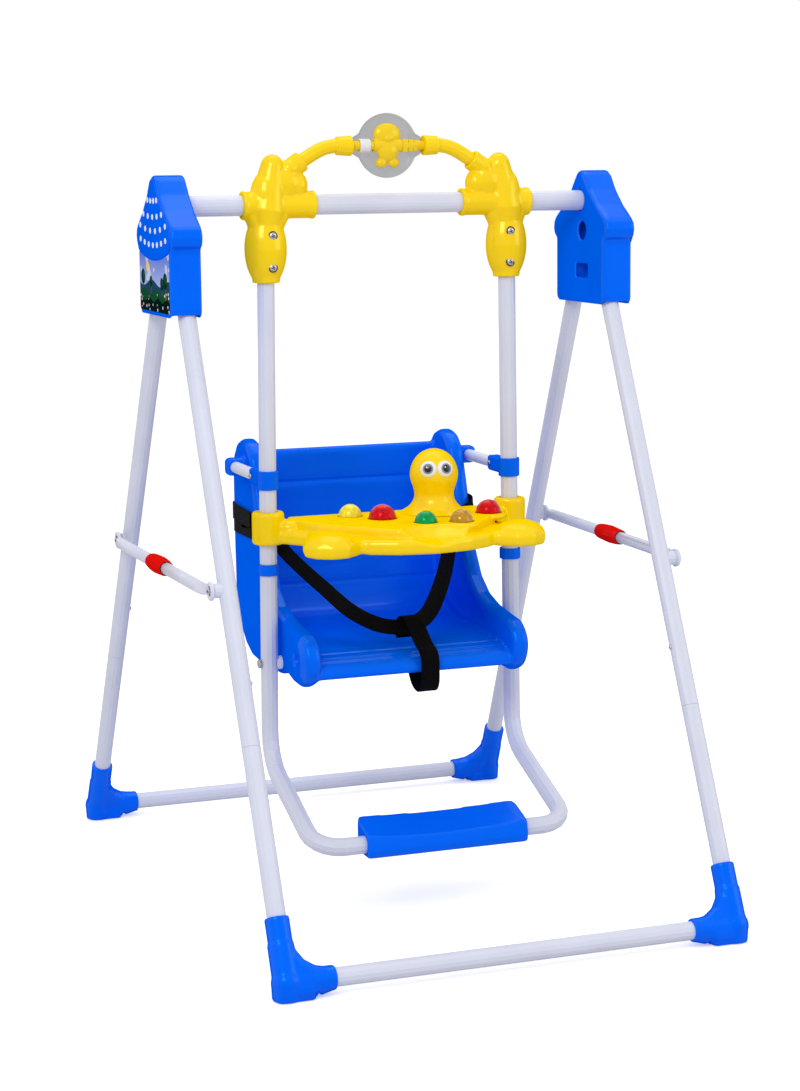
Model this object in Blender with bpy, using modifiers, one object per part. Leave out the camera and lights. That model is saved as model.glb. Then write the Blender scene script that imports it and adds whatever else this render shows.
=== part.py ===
"""A folding baby swing set: an A-frame stand with a hanging seat, tray and spinning toy.

Metres, +Z up. X runs along the crossbar, the child faces -Y, and the floor is at Z = 0.
"""
import math

import bmesh
import bpy
from mathutils import Matrix, Vector

# Stock sizes
GAP = 0.0003
BAR_RADIUS = 0.016
TUBE_RADIUS = 0.014
THIN_TUBE_RADIUS = 0.0095
PIN_RADIUS = 0.004

# Stand
BAR_HEIGHT = 1.100
HOUSE_X = 0.3585
HOUSE_THICKNESS = 0.050
HOUSE_WALL = 0.003
HOUSE_HALF = 0.094
ROUND_HOLE = (-0.010, 1.051)
SQUARE_HOLE = (-0.009, 0.986)
LEG_PIVOT_Y = 0.051
LEG_PIVOT_Z = 0.985
LEG_TILT = math.radians(26.2)
LEG_TOP_X = 0.3546
FRONT_LEG_X = 0.3535
REAR_FOOT_X = 0.3797
LEG_ABOVE_PIVOT = 0.034
LEG_END_Z = 0.030
LEG_SEAM_Z = 0.331
LEG_SIDES = 14
SPIGOT_RADIUS = 0.0115
SPIGOT_LENGTH = 0.090
FLOOR_BAR_Z = 0.0242
FOOT_HEIGHT = 0.108
FOOT_REACH = 0.086
FOOT_SKIN = 0.0025
SOLE_INSET = 0.012
SOLE_SIZE = (0.056, 0.034, 0.024)

# Braces
BRACE_Z = 0.545
BRACE_ANCHOR_Y = LEG_PIVOT_Y + (LEG_PIVOT_Z - BRACE_Z) * math.tan(LEG_TILT)
BRACE_FRONT_X = 0.3845
BRACE_REAR_X = 0.3935
BRACE_HINGE_Y = 0.0195
BRACE_HINGE_DROP = 0.006
HINGE_SETBACK = 0.0145
HINGE_PLATE = 0.0042
HINGE_RIVET = 0.0015
EYE_OFFSET = 0.006
EYE_HALF = 0.002
EYE_RADIUS = 0.0112
EYE_SETBACK = 0.018
STUD_RADIUS = 0.003
RIVET_HEAD = 0.0065
RIVET_HEAD_HEIGHT = 0.0022
BOSS_RADIUS = 0.0112
REAR_BOSS_GAP = 0.0035
REAR_SPACER = 0.0030
SLEEVE_FRONT_Y = -0.047
SLEEVE_REAR_Y = 0.035
SLEEVE_BORE = 0.0108
SLEEVE_END_RADIUS = 0.0122
SLEEVE_MIDDLE_RADIUS = 0.0147

# Swing
SWING_TOP_X = 0.2035
SWING_LOW_X = 0.2112
SWING_TOP_Z = 1.058
SWING_BEND_Z = 0.260
SWING_BEND_RADIUS = 0.070
SWING_PITCH = math.radians(21.0)
FOOTREST_Y = -0.230
FOOTREST_HALF = 0.134
FOOTREST_CORNER = 0.045
FOOTREST_DEPTH = 0.058
FOOTREST_RISE = 0.019
FOOTREST_SAG = 0.0072
ARCH_RADIUS = 0.0115
COLLAR_END_RADIUS = 0.0145
COLLAR_FLARE_RADIUS = 0.0162

# Seat
WING_INNER_X = 0.162
WING_OUTER_X = 0.190
RECESS_DEPTH = 0.003
RECESS_OUTLINE = ((0.196, 0.650), (0.172, 0.640), (0.158, 0.605), (0.142, 0.556), (0.119, 0.508),
                  (0.090, 0.468), (0.050, 0.440), (0.004, 0.424), (0.004, 0.406), (0.110, 0.409),
                  (0.150, 0.419), (0.188, 0.446), (0.207, 0.490), (0.207, 0.640))
SEAT_BOLT_Z = 0.372
LINK_FRONT_Y = 0.0695
LINK_REAR_Y = 0.178

# Tray
TRAY_BOTTOM_Z = 0.566
TRAY_TOP_Z = 0.606
SHELF_Z = 0.5905
LOBE_CENTRE = (0.157, -0.160)
LOBE_RADIUS = 0.044
TRAY_SKIN = 0.0085
DOME_SEAT_DEPTH = 0.0030
DOME_STEM_SHARE = 0.62
DOME_STEM_LENGTH = 0.026
COLLAR_TOP_Z = 0.618
COLLAR_RADIUS = 0.026
RING_Z = 0.5245
CLAMP_Z = 0.668

# Spinner
SPINNER_Z = 1.1905
CASE_RADIUS = 0.051
CASE_HALF_DEPTH = 0.0150
CASE_SKIN = 0.0022
NECK_RADIUS = 0.0125
NECK_END_X = 0.0575
SPINDLE_RADIUS = 0.0075
SPIN_GAP = 0.0008

# Straps
STRAP_HALF = 0.014
STRAP_THICKNESS = 0.0018

BLUE = (0.004, 0.102, 0.831)
YELLOW = (1.0, 0.638, 0.004)
POWDER_WHITE = (0.72, 0.73, 0.80)
RED = (0.83, 0.012, 0.008)
GREEN = (0.0, 0.22, 0.06)
AMBER = (0.48, 0.26, 0.03)
BLACK = (0.006, 0.006, 0.007)
STEEL = (0.55, 0.56, 0.58)
CLEAR = (0.70, 0.71, 0.76)


def clear_scene():
    for obj in list(bpy.data.objects):
        bpy.data.objects.remove(obj, do_unlink=True)


def new_collection(name):
    collection = bpy.data.collections.new(name)
    bpy.context.scene.collection.children.link(collection)
    return collection


def new_material(name, colour, roughness, metallic=0.0):
    material = bpy.data.materials.new(name)
    material.use_nodes = True
    shader = material.node_tree.nodes["Principled BSDF"]
    shader.inputs["Base Color"].default_value = (*colour, 1.0)
    shader.inputs["Roughness"].default_value = roughness
    shader.inputs["Metallic"].default_value = metallic
    return material


clear_scene()
PARTS = new_collection("baby_swing_set")
CUTTERS = new_collection("cutters")
BLUE_PLASTIC = new_material("blue_plastic", BLUE, 0.28)
YELLOW_PLASTIC = new_material("yellow_plastic", YELLOW, 0.30)
WHITE_PAINT = new_material("white_paint", POWDER_WHITE, 0.35)
RED_PLASTIC = new_material("red_plastic", RED, 0.30)
GREEN_PLASTIC = new_material("green_plastic", GREEN, 0.15)
AMBER_PLASTIC = new_material("amber_plastic", AMBER, 0.12)
WHITE_PLASTIC = new_material("white_plastic", (0.80, 0.80, 0.80), 0.40)
BLACK_WEBBING = new_material("black_webbing", BLACK, 0.85)
STEEL_PLATED = new_material("steel_plated", STEEL, 0.25, 1.0)
CLEAR_PLASTIC = new_material("clear_plastic", CLEAR, 0.08)


# Helpers that make, place, join and cut shapes

def link(obj, collection, material=None):
    for owner in list(obj.users_collection):
        owner.objects.unlink(obj)
    collection.objects.link(obj)
    if material is not None:
        obj.data.materials.clear()
        obj.data.materials.append(material)
    return obj


def mesh_object(name, bm, material=None, collection=None):
    mesh = bpy.data.meshes.new(name)
    bm.to_mesh(mesh)
    bm.free()
    obj = bpy.data.objects.new(name, mesh)
    return link(obj, collection or PARTS, material)


def empty_at(name, location):
    empty = bpy.data.objects.new(name, None)
    empty.location = location
    empty.empty_display_size = 0.03
    PARTS.objects.link(empty)
    return empty


def hang(obj, empty):
    obj.parent = empty
    obj.matrix_parent_inverse = Matrix.Translation(-empty.location)
    return obj


def as_cutter(obj):
    link(obj, CUTTERS)
    obj.hide_render = True
    obj.display_type = 'WIRE'
    return obj


def boolean(obj, other, operation):
    modifier = obj.modifiers.new(operation.lower(), 'BOOLEAN')
    modifier.operation = operation
    modifier.solver = 'EXACT'
    modifier.object = as_cutter(other)
    return obj


def cut(obj, *cutters):
    for cutter in cutters:
        boolean(obj, cutter, 'DIFFERENCE')
    return obj


def fuse(obj, *others):
    for other in others:
        boolean(obj, other, 'UNION')
    return obj


def bevel(obj, width, segments=2, angle=35.0):
    modifier = obj.modifiers.new("bevel", 'BEVEL')
    modifier.width = width
    modifier.segments = segments
    modifier.limit_method = 'ANGLE'
    modifier.angle_limit = math.radians(angle)
    return obj


def smooth(obj, angle=35.0):
    obj.data.shade_smooth()
    obj.data.set_sharp_from_angle(angle=math.radians(angle))
    return obj


def box(name, centre, size, material=None):
    bm = bmesh.new()
    bmesh.ops.create_cube(bm, size=1.0)
    bmesh.ops.scale(bm, vec=size, verts=bm.verts)
    obj = mesh_object(name, bm, material)
    obj.location = centre
    return obj


def ball(name, centre, radii, material=None, segments=20, rings=12):
    bm = bmesh.new()
    bmesh.ops.create_uvsphere(bm, u_segments=segments, v_segments=rings, radius=1.0)
    bmesh.ops.scale(bm, vec=radii, verts=bm.verts)
    obj = smooth(mesh_object(name, bm, material))
    obj.location = centre
    return obj


def rod(name, start, end, radius, material=None, sides=20, end_radius=None):
    """A round bar from start to end, or a cone where end_radius differs."""
    start = Vector(start)
    end = Vector(end)
    bm = bmesh.new()
    bmesh.ops.create_cone(
        bm, cap_ends=True, segments=sides, radius1=radius,
        radius2=radius if end_radius is None else end_radius, depth=(end - start).length)
    obj = smooth(mesh_object(name, bm, material))
    obj.location = (start + end) / 2
    obj.rotation_euler = (end - start).to_track_quat('Z', 'Y').to_euler()
    return obj


def to_mesh(curve_obj, material=None):
    """Turn a curve object into a welded mesh object of the same name and place."""
    depsgraph = bpy.context.evaluated_depsgraph_get()
    mesh = bpy.data.meshes.new_from_object(curve_obj.evaluated_get(depsgraph))
    bm = bmesh.new()
    bm.from_mesh(mesh)
    bmesh.ops.remove_doubles(bm, verts=bm.verts, dist=0.00001)
    bm.to_mesh(mesh)
    bm.free()
    name = curve_obj.name
    matrix = curve_obj.matrix_world.copy()
    bpy.data.objects.remove(curve_obj, do_unlink=True)
    obj = bpy.data.objects.new(name, mesh)
    obj.matrix_world = matrix
    link(obj, PARTS, material)
    return smooth(obj)


def bent_tube(name, points, radius, material=None, resolution=3):
    """A tube along a chain of points, as a mesh."""
    curve = bpy.data.curves.new(name, 'CURVE')
    curve.dimensions = '3D'
    curve.bevel_depth = radius
    curve.bevel_resolution = resolution
    curve.use_fill_caps = True
    spline = curve.splines.new('POLY')
    spline.points.add(len(points) - 1)
    for place, point in zip(spline.points, points):
        place.co = (*point, 1.0)
    obj = bpy.data.objects.new(name, curve)
    PARTS.objects.link(obj)
    return to_mesh(obj, material)


def plate(name, outline, thickness, matrix, material=None):
    """A flat outline in local X and Y, thick along local Z, placed by matrix."""
    curve = bpy.data.curves.new(name, 'CURVE')
    curve.dimensions = '2D'
    curve.fill_mode = 'BOTH'
    curve.extrude = thickness / 2
    spline = curve.splines.new('POLY')
    spline.points.add(len(outline) - 1)
    for place, (x, y) in zip(spline.points, outline):
        place.co = (x, y, 0.0, 1.0)
    spline.use_cyclic_u = True
    obj = bpy.data.objects.new(name, curve)
    obj.matrix_world = matrix
    PARTS.objects.link(obj)
    bpy.context.view_layer.update()
    flat = to_mesh(obj, material)
    bm = bmesh.new()
    bm.from_mesh(flat.data)
    bmesh.ops.dissolve_limit(bm, angle_limit=0.001, verts=bm.verts, edges=bm.edges)
    bm.to_mesh(flat.data)
    bm.free()
    return smooth(flat)


def side_plate(name, outline, x, thickness, material=None):
    """A plate whose outline is in world Y and Z and that is thick along X."""
    matrix = Matrix.Translation((x, 0, 0)) @ Matrix(
        ((0, 0, 1, 0), (1, 0, 0, 0), (0, 1, 0, 0), (0, 0, 0, 1)))
    return plate(name, outline, thickness, matrix, material)


def turned(name, profile, centre, axis_rotation=(0, 0, 0), material=None, steps=24):
    """A shape turned about local Z; the profile runs down its outer side from top to bottom."""
    bm = bmesh.new()
    verts = [bm.verts.new((radius, 0, height)) for radius, height in profile]
    for first, second in zip(verts, verts[1:]):
        bm.edges.new((first, second))
    obj = mesh_object(name, bm, material)
    screw = obj.modifiers.new("turn", 'SCREW')
    screw.steps = steps
    screw.render_steps = steps
    screw.use_merge_vertices = True
    screw.merge_threshold = 0.00001
    screw.use_smooth_shade = True
    obj.location = centre
    obj.rotation_euler = axis_rotation
    return obj


def arc(centre, radius, start, end, steps):
    """Points on an arc in a plane, angles in degrees."""
    points = []
    for step in range(steps + 1):
        angle = math.radians(start + (end - start) * step / steps)
        points.append((centre[0] + radius * math.cos(angle), centre[1] + radius * math.sin(angle)))
    return points


def blend_shapes(name, shapes, material, voxel, faces):
    """Join overlapping shapes into one soft moulded form."""
    bm = bmesh.new()
    bpy.context.view_layer.update()
    for shape in shapes:
        mesh = shape.data.copy()
        mesh.transform(shape.matrix_world)
        bm.from_mesh(mesh)
        bpy.data.meshes.remove(mesh)
        bpy.data.objects.remove(shape, do_unlink=True)
    obj = mesh_object(name, bm, material)
    remesh = obj.modifiers.new("blend", 'REMESH')
    remesh.mode = 'VOXEL'
    remesh.voxel_size = voxel
    soften = obj.modifiers.new("soften", 'SMOOTH')
    soften.factor = 0.5
    soften.iterations = 6
    thin = obj.modifiers.new("thin", 'DECIMATE')
    depsgraph = bpy.context.evaluated_depsgraph_get()
    thin.ratio = 1.0
    count = len(obj.evaluated_get(depsgraph).data.polygons) * 2
    thin.ratio = min(1.0, faces / max(1, count))
    return obj


def ribbon(name, points, across, thickness, material):
    """A flat band along points; across gives its half width as a vector at each point."""
    bm = bmesh.new()
    rows = []
    for point, half in zip(points, across):
        point = Vector(point)
        half = Vector(half)
        rows.append((bm.verts.new(point - half), bm.verts.new(point + half)))
    for (a, b), (c, d) in zip(rows, rows[1:]):
        bm.faces.new((a, b, d, c))
    obj = mesh_object(name, bm, material)
    solid = obj.modifiers.new("solid", 'SOLIDIFY')
    solid.thickness = thickness
    solid.offset = 0.0
    return smooth(obj)


# Empties that stand on the joint axes

FRONT_FRAME = empty_at("axis_front_frame", (0, -LEG_PIVOT_Y, LEG_PIVOT_Z))
REAR_FRAME = empty_at("axis_rear_frame", (0, LEG_PIVOT_Y, LEG_PIVOT_Z))
SWING = empty_at("axis_swing", (0, 0, BAR_HEIGHT))
TRAY = empty_at("axis_tray", (0, 0, TRAY_BOTTOM_Z))
SPINNER = empty_at("axis_spinner", (0, 0, SPINNER_Z))


# Stand: two roof-shaped end housings, the crossbar and the leg pivots

def house_outline(inset=0.0):
    """Half the roof and body outline, mirrored; arcs at the ridge and the bottom corners."""
    right = arc((HOUSE_HALF - 0.012, 0.944), 0.012 - inset, -90, 0, 3)
    right += [(HOUSE_HALF - inset, 1.036), (0.104 - inset, 1.043), (0.107 - inset, 1.054),
              (0.104 - inset, 1.066), (0.097 - inset, 1.073 - inset), (0.064 - inset, 1.094 - inset),
              (0.036 - inset, 1.118 - inset)]
    right += arc((0, 1.1285), 0.020 - inset, 38, 90, 2)
    left = [(-y, z) for y, z in reversed(right[:-1])]
    return right + left


def house(side, name):
    """A hollow end housing, open below; the bar and the access holes enter its inner face."""
    x = side * HOUSE_X
    body = bevel(side_plate(name, house_outline(), x, HOUSE_THICKNESS, BLUE_PLASTIC), 0.0035, 2, 60)
    cavity = side_plate(name + "_cavity", house_outline(HOUSE_WALL), x,
                        HOUSE_THICKNESS - 2 * HOUSE_WALL)
    mouth = box(name + "_mouth", (x, 0, 0.935),
                (HOUSE_THICKNESS - 2 * HOUSE_WALL, 2 * (HOUSE_HALF - HOUSE_WALL), 0.030))
    inner = side * (HOUSE_X - HOUSE_THICKNESS / 2)
    bar_hole = rod(name + "_bar_hole", (inner - 0.01, 0, BAR_HEIGHT), (inner + 0.01, 0, BAR_HEIGHT),
                   BAR_RADIUS + 2 * GAP, sides=18)
    round_hole = rod(name + "_round_hole", (inner - 0.01, *ROUND_HOLE), (inner + 0.01, *ROUND_HOLE),
                     0.0145, sides=14)
    square_hole = box(name + "_square_hole", (inner, *SQUARE_HOLE), (0.02, 0.046, 0.021))
    cut(body, cavity, mouth, bar_hole, round_hole, square_hole)
    return smooth(body, 30)


house(-1, "house_left")
house(1, "house_right")
bar_end = HOUSE_X + HOUSE_THICKNESS / 2 - HOUSE_WALL - GAP
rod("crossbar", (-bar_end, 0, BAR_HEIGHT), (bar_end, 0, BAR_HEIGHT), BAR_RADIUS, WHITE_PAINT, 20)


def leg_pin(side, face, name):
    """The cross pin that a leg turns on, between the two walls of the housing."""
    half = HOUSE_THICKNESS / 2 - HOUSE_WALL - GAP
    y = face * LEG_PIVOT_Y
    return rod(name, (side * HOUSE_X - half, y, LEG_PIVOT_Z), (side * HOUSE_X + half, y, LEG_PIVOT_Z),
               PIN_RADIUS, STEEL_PLATED, 10)


# Legs, feet, floor bars and brace bosses

def leg_point(side, face, z):
    """The centre of a leg at height z; the rear legs splay outward, the front legs don't."""
    y = face * (LEG_PIVOT_Y + (LEG_PIVOT_Z - z) * math.tan(LEG_TILT))
    if face < 0:
        return Vector((side * FRONT_LEG_X, y, z))
    drop = (BAR_HEIGHT - z) / BAR_HEIGHT
    return Vector((side * (LEG_TOP_X + (REAR_FOOT_X - LEG_TOP_X) * drop), y, z))


def brace_x(y):
    """A brace's axis lies a little further out at the rear leg than at the front leg."""
    share = (y + BRACE_ANCHOR_Y) / (2 * BRACE_ANCHOR_Y)
    return BRACE_FRONT_X + (BRACE_REAR_X - BRACE_FRONT_X) * share


def brace_boss(side, face, name):
    """The spacer outside a leg; at the front leg it also has the stud that the brace turns on."""
    centre = leg_point(side, face, BRACE_Z)
    eye = brace_x(centre.y) - EYE_OFFSET
    outer = side * (eye - EYE_HALF - (GAP if face < 0 else REAR_BOSS_GAP))
    boss = rod(name + "_boss", (centre.x, centre.y, BRACE_Z), (outer, centre.y, BRACE_Z),
               BOSS_RADIUS, sides=12)
    if face > 0:
        return boss
    head = side * (eye + EYE_HALF + GAP)
    fuse(boss, rod(name + "_stud", (centre.x, centre.y, BRACE_Z), (head + side * 0.001, centre.y, BRACE_Z),
                   STUD_RADIUS, sides=8))
    fuse(boss, rod(name + "_head", (head, centre.y, BRACE_Z),
                   (head + side * RIVET_HEAD_HEIGHT, centre.y, BRACE_Z), RIVET_HEAD, sides=10))
    return boss


def leg_upper(side, face, name, frame):
    """The upper leg, drilled for its pivot pin and bored for the lower leg's narrow end."""
    top = leg_point(side, face, LEG_PIVOT_Z + LEG_ABOVE_PIVOT)
    tube = rod(name, leg_point(side, face, LEG_SEAM_Z), top, TUBE_RADIUS, WHITE_PAINT, LEG_SIDES)
    fuse(tube, brace_boss(side, face, name))
    hole_y = face * LEG_PIVOT_Y
    hole = rod(name + "_hole", (side * (HOUSE_X - 0.03), hole_y, LEG_PIVOT_Z),
               (side * (HOUSE_X + 0.03), hole_y, LEG_PIVOT_Z), PIN_RADIUS + GAP, sides=10)
    socket = rod(name + "_socket", leg_point(side, face, LEG_SEAM_Z - 0.02),
                 leg_point(side, face, LEG_SEAM_Z + SPIGOT_LENGTH + 0.001), SPIGOT_RADIUS + GAP,
                 sides=LEG_SIDES)
    return hang(smooth(cut(tube, hole, socket)), frame)


def leg_lower(side, face, name, frame):
    """The lower leg, with a narrow end that goes up into the upper leg."""
    tube = rod(name, leg_point(side, face, LEG_END_Z), leg_point(side, face, LEG_SEAM_Z - GAP),
               TUBE_RADIUS, WHITE_PAINT, LEG_SIDES)
    spigot = rod(name + "_spigot", leg_point(side, face, LEG_SEAM_Z - 0.01),
                 leg_point(side, face, LEG_SEAM_Z + SPIGOT_LENGTH), SPIGOT_RADIUS, sides=LEG_SIDES)
    return hang(smooth(fuse(tube, spigot)), frame)


def foot_outline():
    """The elbow seen square on: a heel, two sockets and a hollow curve between them."""
    half = TUBE_RADIUS + FOOT_SKIN
    heel = half + 0.0015
    inner = 0.046
    outline = [(FOOT_REACH, -half), (0.050, -half), (0.036, -heel - 0.0055)]
    outline += arc((-heel + 0.016, -heel + 0.0105), 0.016, -90, -180, 3)
    outline += [(-heel, 0.050), (-half, 0.058), (-half, FOOT_HEIGHT), (half, FOOT_HEIGHT)]
    outline += arc((half + inner, half + inner), inner, 180, 270, 4)
    outline += [(FOOT_REACH, half)]
    return outline


def foot(side, face, name, frame):
    """An elbow that stands on the floor and holds the leg and the floor bar."""
    corner = leg_point(side, face, FLOOR_BAR_Z)
    up = (leg_point(side, face, LEG_PIVOT_Z) - corner).normalized()
    inward = Vector((-side, 0, 0))
    up = (up - inward * up.dot(inward)).normalized()
    normal = inward.cross(up)
    matrix = Matrix.Translation(corner) @ Matrix((
        (inward.x, up.x, normal.x, 0), (inward.y, up.y, normal.y, 0),
        (inward.z, up.z, normal.z, 0), (0, 0, 0, 1)))
    half = TUBE_RADIUS + FOOT_SKIN
    body = plate(name, foot_outline(), 2 * half, matrix, BLUE_PLASTIC)
    bevel(body, 0.012, 2, 50)
    sole = box(name + "_sole", corner + inward * SOLE_INSET + Vector((0, 0, -FLOOR_BAR_Z + 0.006)), SOLE_SIZE)
    fuse(body, bevel(sole, 0.004, 1, 60))
    floor = box(name + "_floor", corner + Vector((0, 0, -FLOOR_BAR_Z - 0.03)), (0.3, 0.3, 0.06))
    reach = corner + inward * (FOOT_REACH - 0.014 + 0.05)
    bar_end = box(name + "_bar_end", reach, (0.1, 0.12, 0.12))
    leg_top = box(name + "_leg_end", (0, 0, 0), (0.12, 0.1, 0.12))
    leg_top.matrix_world = matrix @ Matrix.Translation((0, FOOT_HEIGHT - 0.014 + 0.05, 0))
    leg_bore = rod(name + "_leg_bore", leg_point(side, face, LEG_END_Z - 0.0006),
                   leg_point(side, face, 0.2), TUBE_RADIUS + GAP, sides=LEG_SIDES)
    bar_bore = rod(name + "_bar_bore", corner + inward * 0.026, corner + inward * 0.2,
                   TUBE_RADIUS + GAP, sides=LEG_SIDES)
    cut(body, floor, bar_end, leg_top, leg_bore, bar_bore)
    return hang(smooth(body, 40), frame)


def floor_bar(face, name, frame):
    corner = leg_point(1, face, FLOOR_BAR_Z)
    half = corner.x - 0.0265
    bar = rod(name, (-half, corner.y, FLOOR_BAR_Z), (half, corner.y, FLOOR_BAR_Z), TUBE_RADIUS,
              WHITE_PAINT, LEG_SIDES)
    return hang(bar, frame)


SIDES = ((-1, "left"), (1, "right"))
FRAMES = ((-1, "front", FRONT_FRAME), (1, "rear", REAR_FRAME))
for side, side_name in SIDES:
    for face, face_name, frame in FRAMES:
        tail = face_name + "_" + side_name
        leg_pin(side, face, "pin_" + tail)
        leg_upper(side, face, "leg_upper_" + tail, frame)
        leg_lower(side, face, "leg_lower_" + tail, frame)
        foot(side, face, "foot_" + tail, frame)
for face, face_name, frame in FRAMES:
    floor_bar(face, "floor_bar_" + face_name, frame)


# Folding braces: two halves hinged near the middle, and a sleeve that slides over the hinge

def brace_point(side, y, z=BRACE_Z):
    return Vector((side * brace_x(y), y, z))


def hinge_plate_cuts(tube, name, side, direction):
    """Cut the hinge end of a tube to a plate that lies beside the other half's plate."""
    hinge = brace_point(side, BRACE_HINGE_Y)
    y = hinge.y + direction * (HINGE_SETBACK - 0.03)
    layer = direction * side
    for edge, away in ((GAP, -1), (GAP + HINGE_PLATE, 1)):
        x = hinge.x + layer * (edge + away * 0.010)
        cut(tube, box(name + "_plate" + str(away), (x, y, BRACE_Z), (0.020, 0.060, 0.030)))
    return tube


def eye(side, y, name, direction):
    """A flat round end with a short web, beside the tube's axis towards the leg."""
    x = side * (brace_x(y) - EYE_OFFSET)
    disc = rod(name + "_eye", (x - EYE_HALF, y, BRACE_Z), (x + EYE_HALF, y, BRACE_Z), EYE_RADIUS,
               sides=12)
    web = box(name + "_web", (x, y + direction * EYE_SETBACK / 2, BRACE_Z),
              (2 * EYE_HALF, EYE_SETBACK + 0.004, 0.0150))
    return fuse(disc, web)


def brace_front(side, name, axis):
    hinge = brace_point(side, BRACE_HINGE_Y)
    start = brace_point(side, EYE_SETBACK - BRACE_ANCHOR_Y)
    tube = rod(name, start, brace_point(side, BRACE_HINGE_Y + 0.005), THIN_TUBE_RADIUS, WHITE_PAINT,
               12)
    hinge_plate_cuts(tube, name, side, -1)
    fuse(tube, eye(side, -BRACE_ANCHOR_Y, name, 1))
    rivet_z = BRACE_Z - BRACE_HINGE_DROP
    rivet = rod(name + "_rivet", (hinge.x - side * 0.003, hinge.y, rivet_z),
                (hinge.x + side * (HINGE_PLATE + GAP), hinge.y, rivet_z), HINGE_RIVET, sides=8)
    fuse(tube, rivet)
    x = side * brace_x(-BRACE_ANCHOR_Y)
    cut(tube, rod(name + "_hole", (x - 0.02, -BRACE_ANCHOR_Y, BRACE_Z),
                  (x + 0.02, -BRACE_ANCHOR_Y, BRACE_Z), STUD_RADIUS + 2 * GAP, sides=8))
    return hang(smooth(tube), axis)


def brace_rear(side, name, axis):
    hinge = brace_point(side, BRACE_HINGE_Y)
    end = brace_point(side, BRACE_ANCHOR_Y - EYE_SETBACK)
    tube = rod(name, brace_point(side, BRACE_HINGE_Y - 0.005), end, THIN_TUBE_RADIUS, WHITE_PAINT, 12)
    hinge_plate_cuts(tube, name, side, 1)
    fuse(tube, eye(side, BRACE_ANCHOR_Y, name, -1))
    x = brace_x(BRACE_ANCHOR_Y) - EYE_OFFSET
    fuse(tube, rod(name + "_head", (side * x, BRACE_ANCHOR_Y, BRACE_Z),
                   (side * (x + EYE_HALF + RIVET_HEAD_HEIGHT), BRACE_ANCHOR_Y, BRACE_Z), RIVET_HEAD,
                   sides=10))
    fuse(tube, rod(name + "_spacer", (side * (x - EYE_HALF - REAR_SPACER), BRACE_ANCHOR_Y, BRACE_Z),
                   (side * x, BRACE_ANCHOR_Y, BRACE_Z), BOSS_RADIUS - GAP, sides=12))
    rivet_z = BRACE_Z - BRACE_HINGE_DROP
    cut(tube, rod(name + "_hole", (hinge.x - 0.02, hinge.y, rivet_z), (hinge.x + 0.02, hinge.y, rivet_z),
                  HINGE_RIVET + 2 * GAP, sides=8))
    return hang(smooth(tube), axis)


def brace_sleeve(side, name, axis):
    """A barrel-shaped grip that locks the hinge straight and slides forward to free it."""
    front = brace_point(side, SLEEVE_FRONT_Y)
    rear = brace_point(side, SLEEVE_REAR_Y)
    half = (rear - front).length / 2
    swell = SLEEVE_MIDDLE_RADIUS - SLEEVE_END_RADIUS
    profile = [(0.0, half)]
    steps = 4
    for step in range(steps + 1):
        height = math.cos(math.pi * step / steps)
        profile.append((SLEEVE_END_RADIUS + swell * (1 - height ** 2), half * height))
    profile.append((0.0, -half))
    rotation = (rear - front).to_track_quat('Z', 'Y').to_euler()
    sleeve = turned(name, profile, (front + rear) / 2, rotation, RED_PLASTIC, 14)
    cut(sleeve, rod(name + "_bore", brace_point(side, SLEEVE_FRONT_Y - 0.02),
                    brace_point(side, SLEEVE_REAR_Y + 0.02), SLEEVE_BORE, sides=14))
    return hang(smooth(sleeve, 50), axis)


def brace(side, side_name):
    front_axis = empty_at("axis_brace_front_" + side_name, brace_point(side, -BRACE_ANCHOR_Y))
    rear_axis = empty_at("axis_brace_rear_" + side_name,
                         brace_point(side, BRACE_HINGE_Y, BRACE_Z - BRACE_HINGE_DROP))
    sleeve_axis = empty_at("axis_brace_sleeve_" + side_name, brace_point(side, SLEEVE_REAR_Y))
    hang(front_axis, FRONT_FRAME)
    hang(rear_axis, front_axis)
    hang(sleeve_axis, front_axis)
    brace_front(side, "brace_front_" + side_name, front_axis)
    brace_rear(side, "brace_rear_" + side_name, rear_axis)
    brace_sleeve(side, "brace_sleeve_" + side_name, sleeve_axis)


for side, side_name in SIDES:
    brace(side, side_name)


# Swing: hangers, toy arch, bent tubes, footrest, clamps and links

def swing_x(z):
    """The distance of a swing tube from the middle; the two tubes splay slightly downward."""
    drop = (SWING_TOP_Z - z) / (SWING_TOP_Z - SWING_BEND_Z)
    return SWING_TOP_X + (SWING_LOW_X - SWING_TOP_X) * drop


def arch_route(side):
    """From inside the hanger's hump up and over to the toy's spindle."""
    return [Vector((side * x, 0, z)) for x, z in (
        (0.1560, 1.1592), (0.1340, 1.1725), (0.1240, 1.1785), (0.1140, 1.1838), (0.1030, 1.1880),
        (0.0900, 1.1903), (0.0780, SPINNER_Z))]


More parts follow.
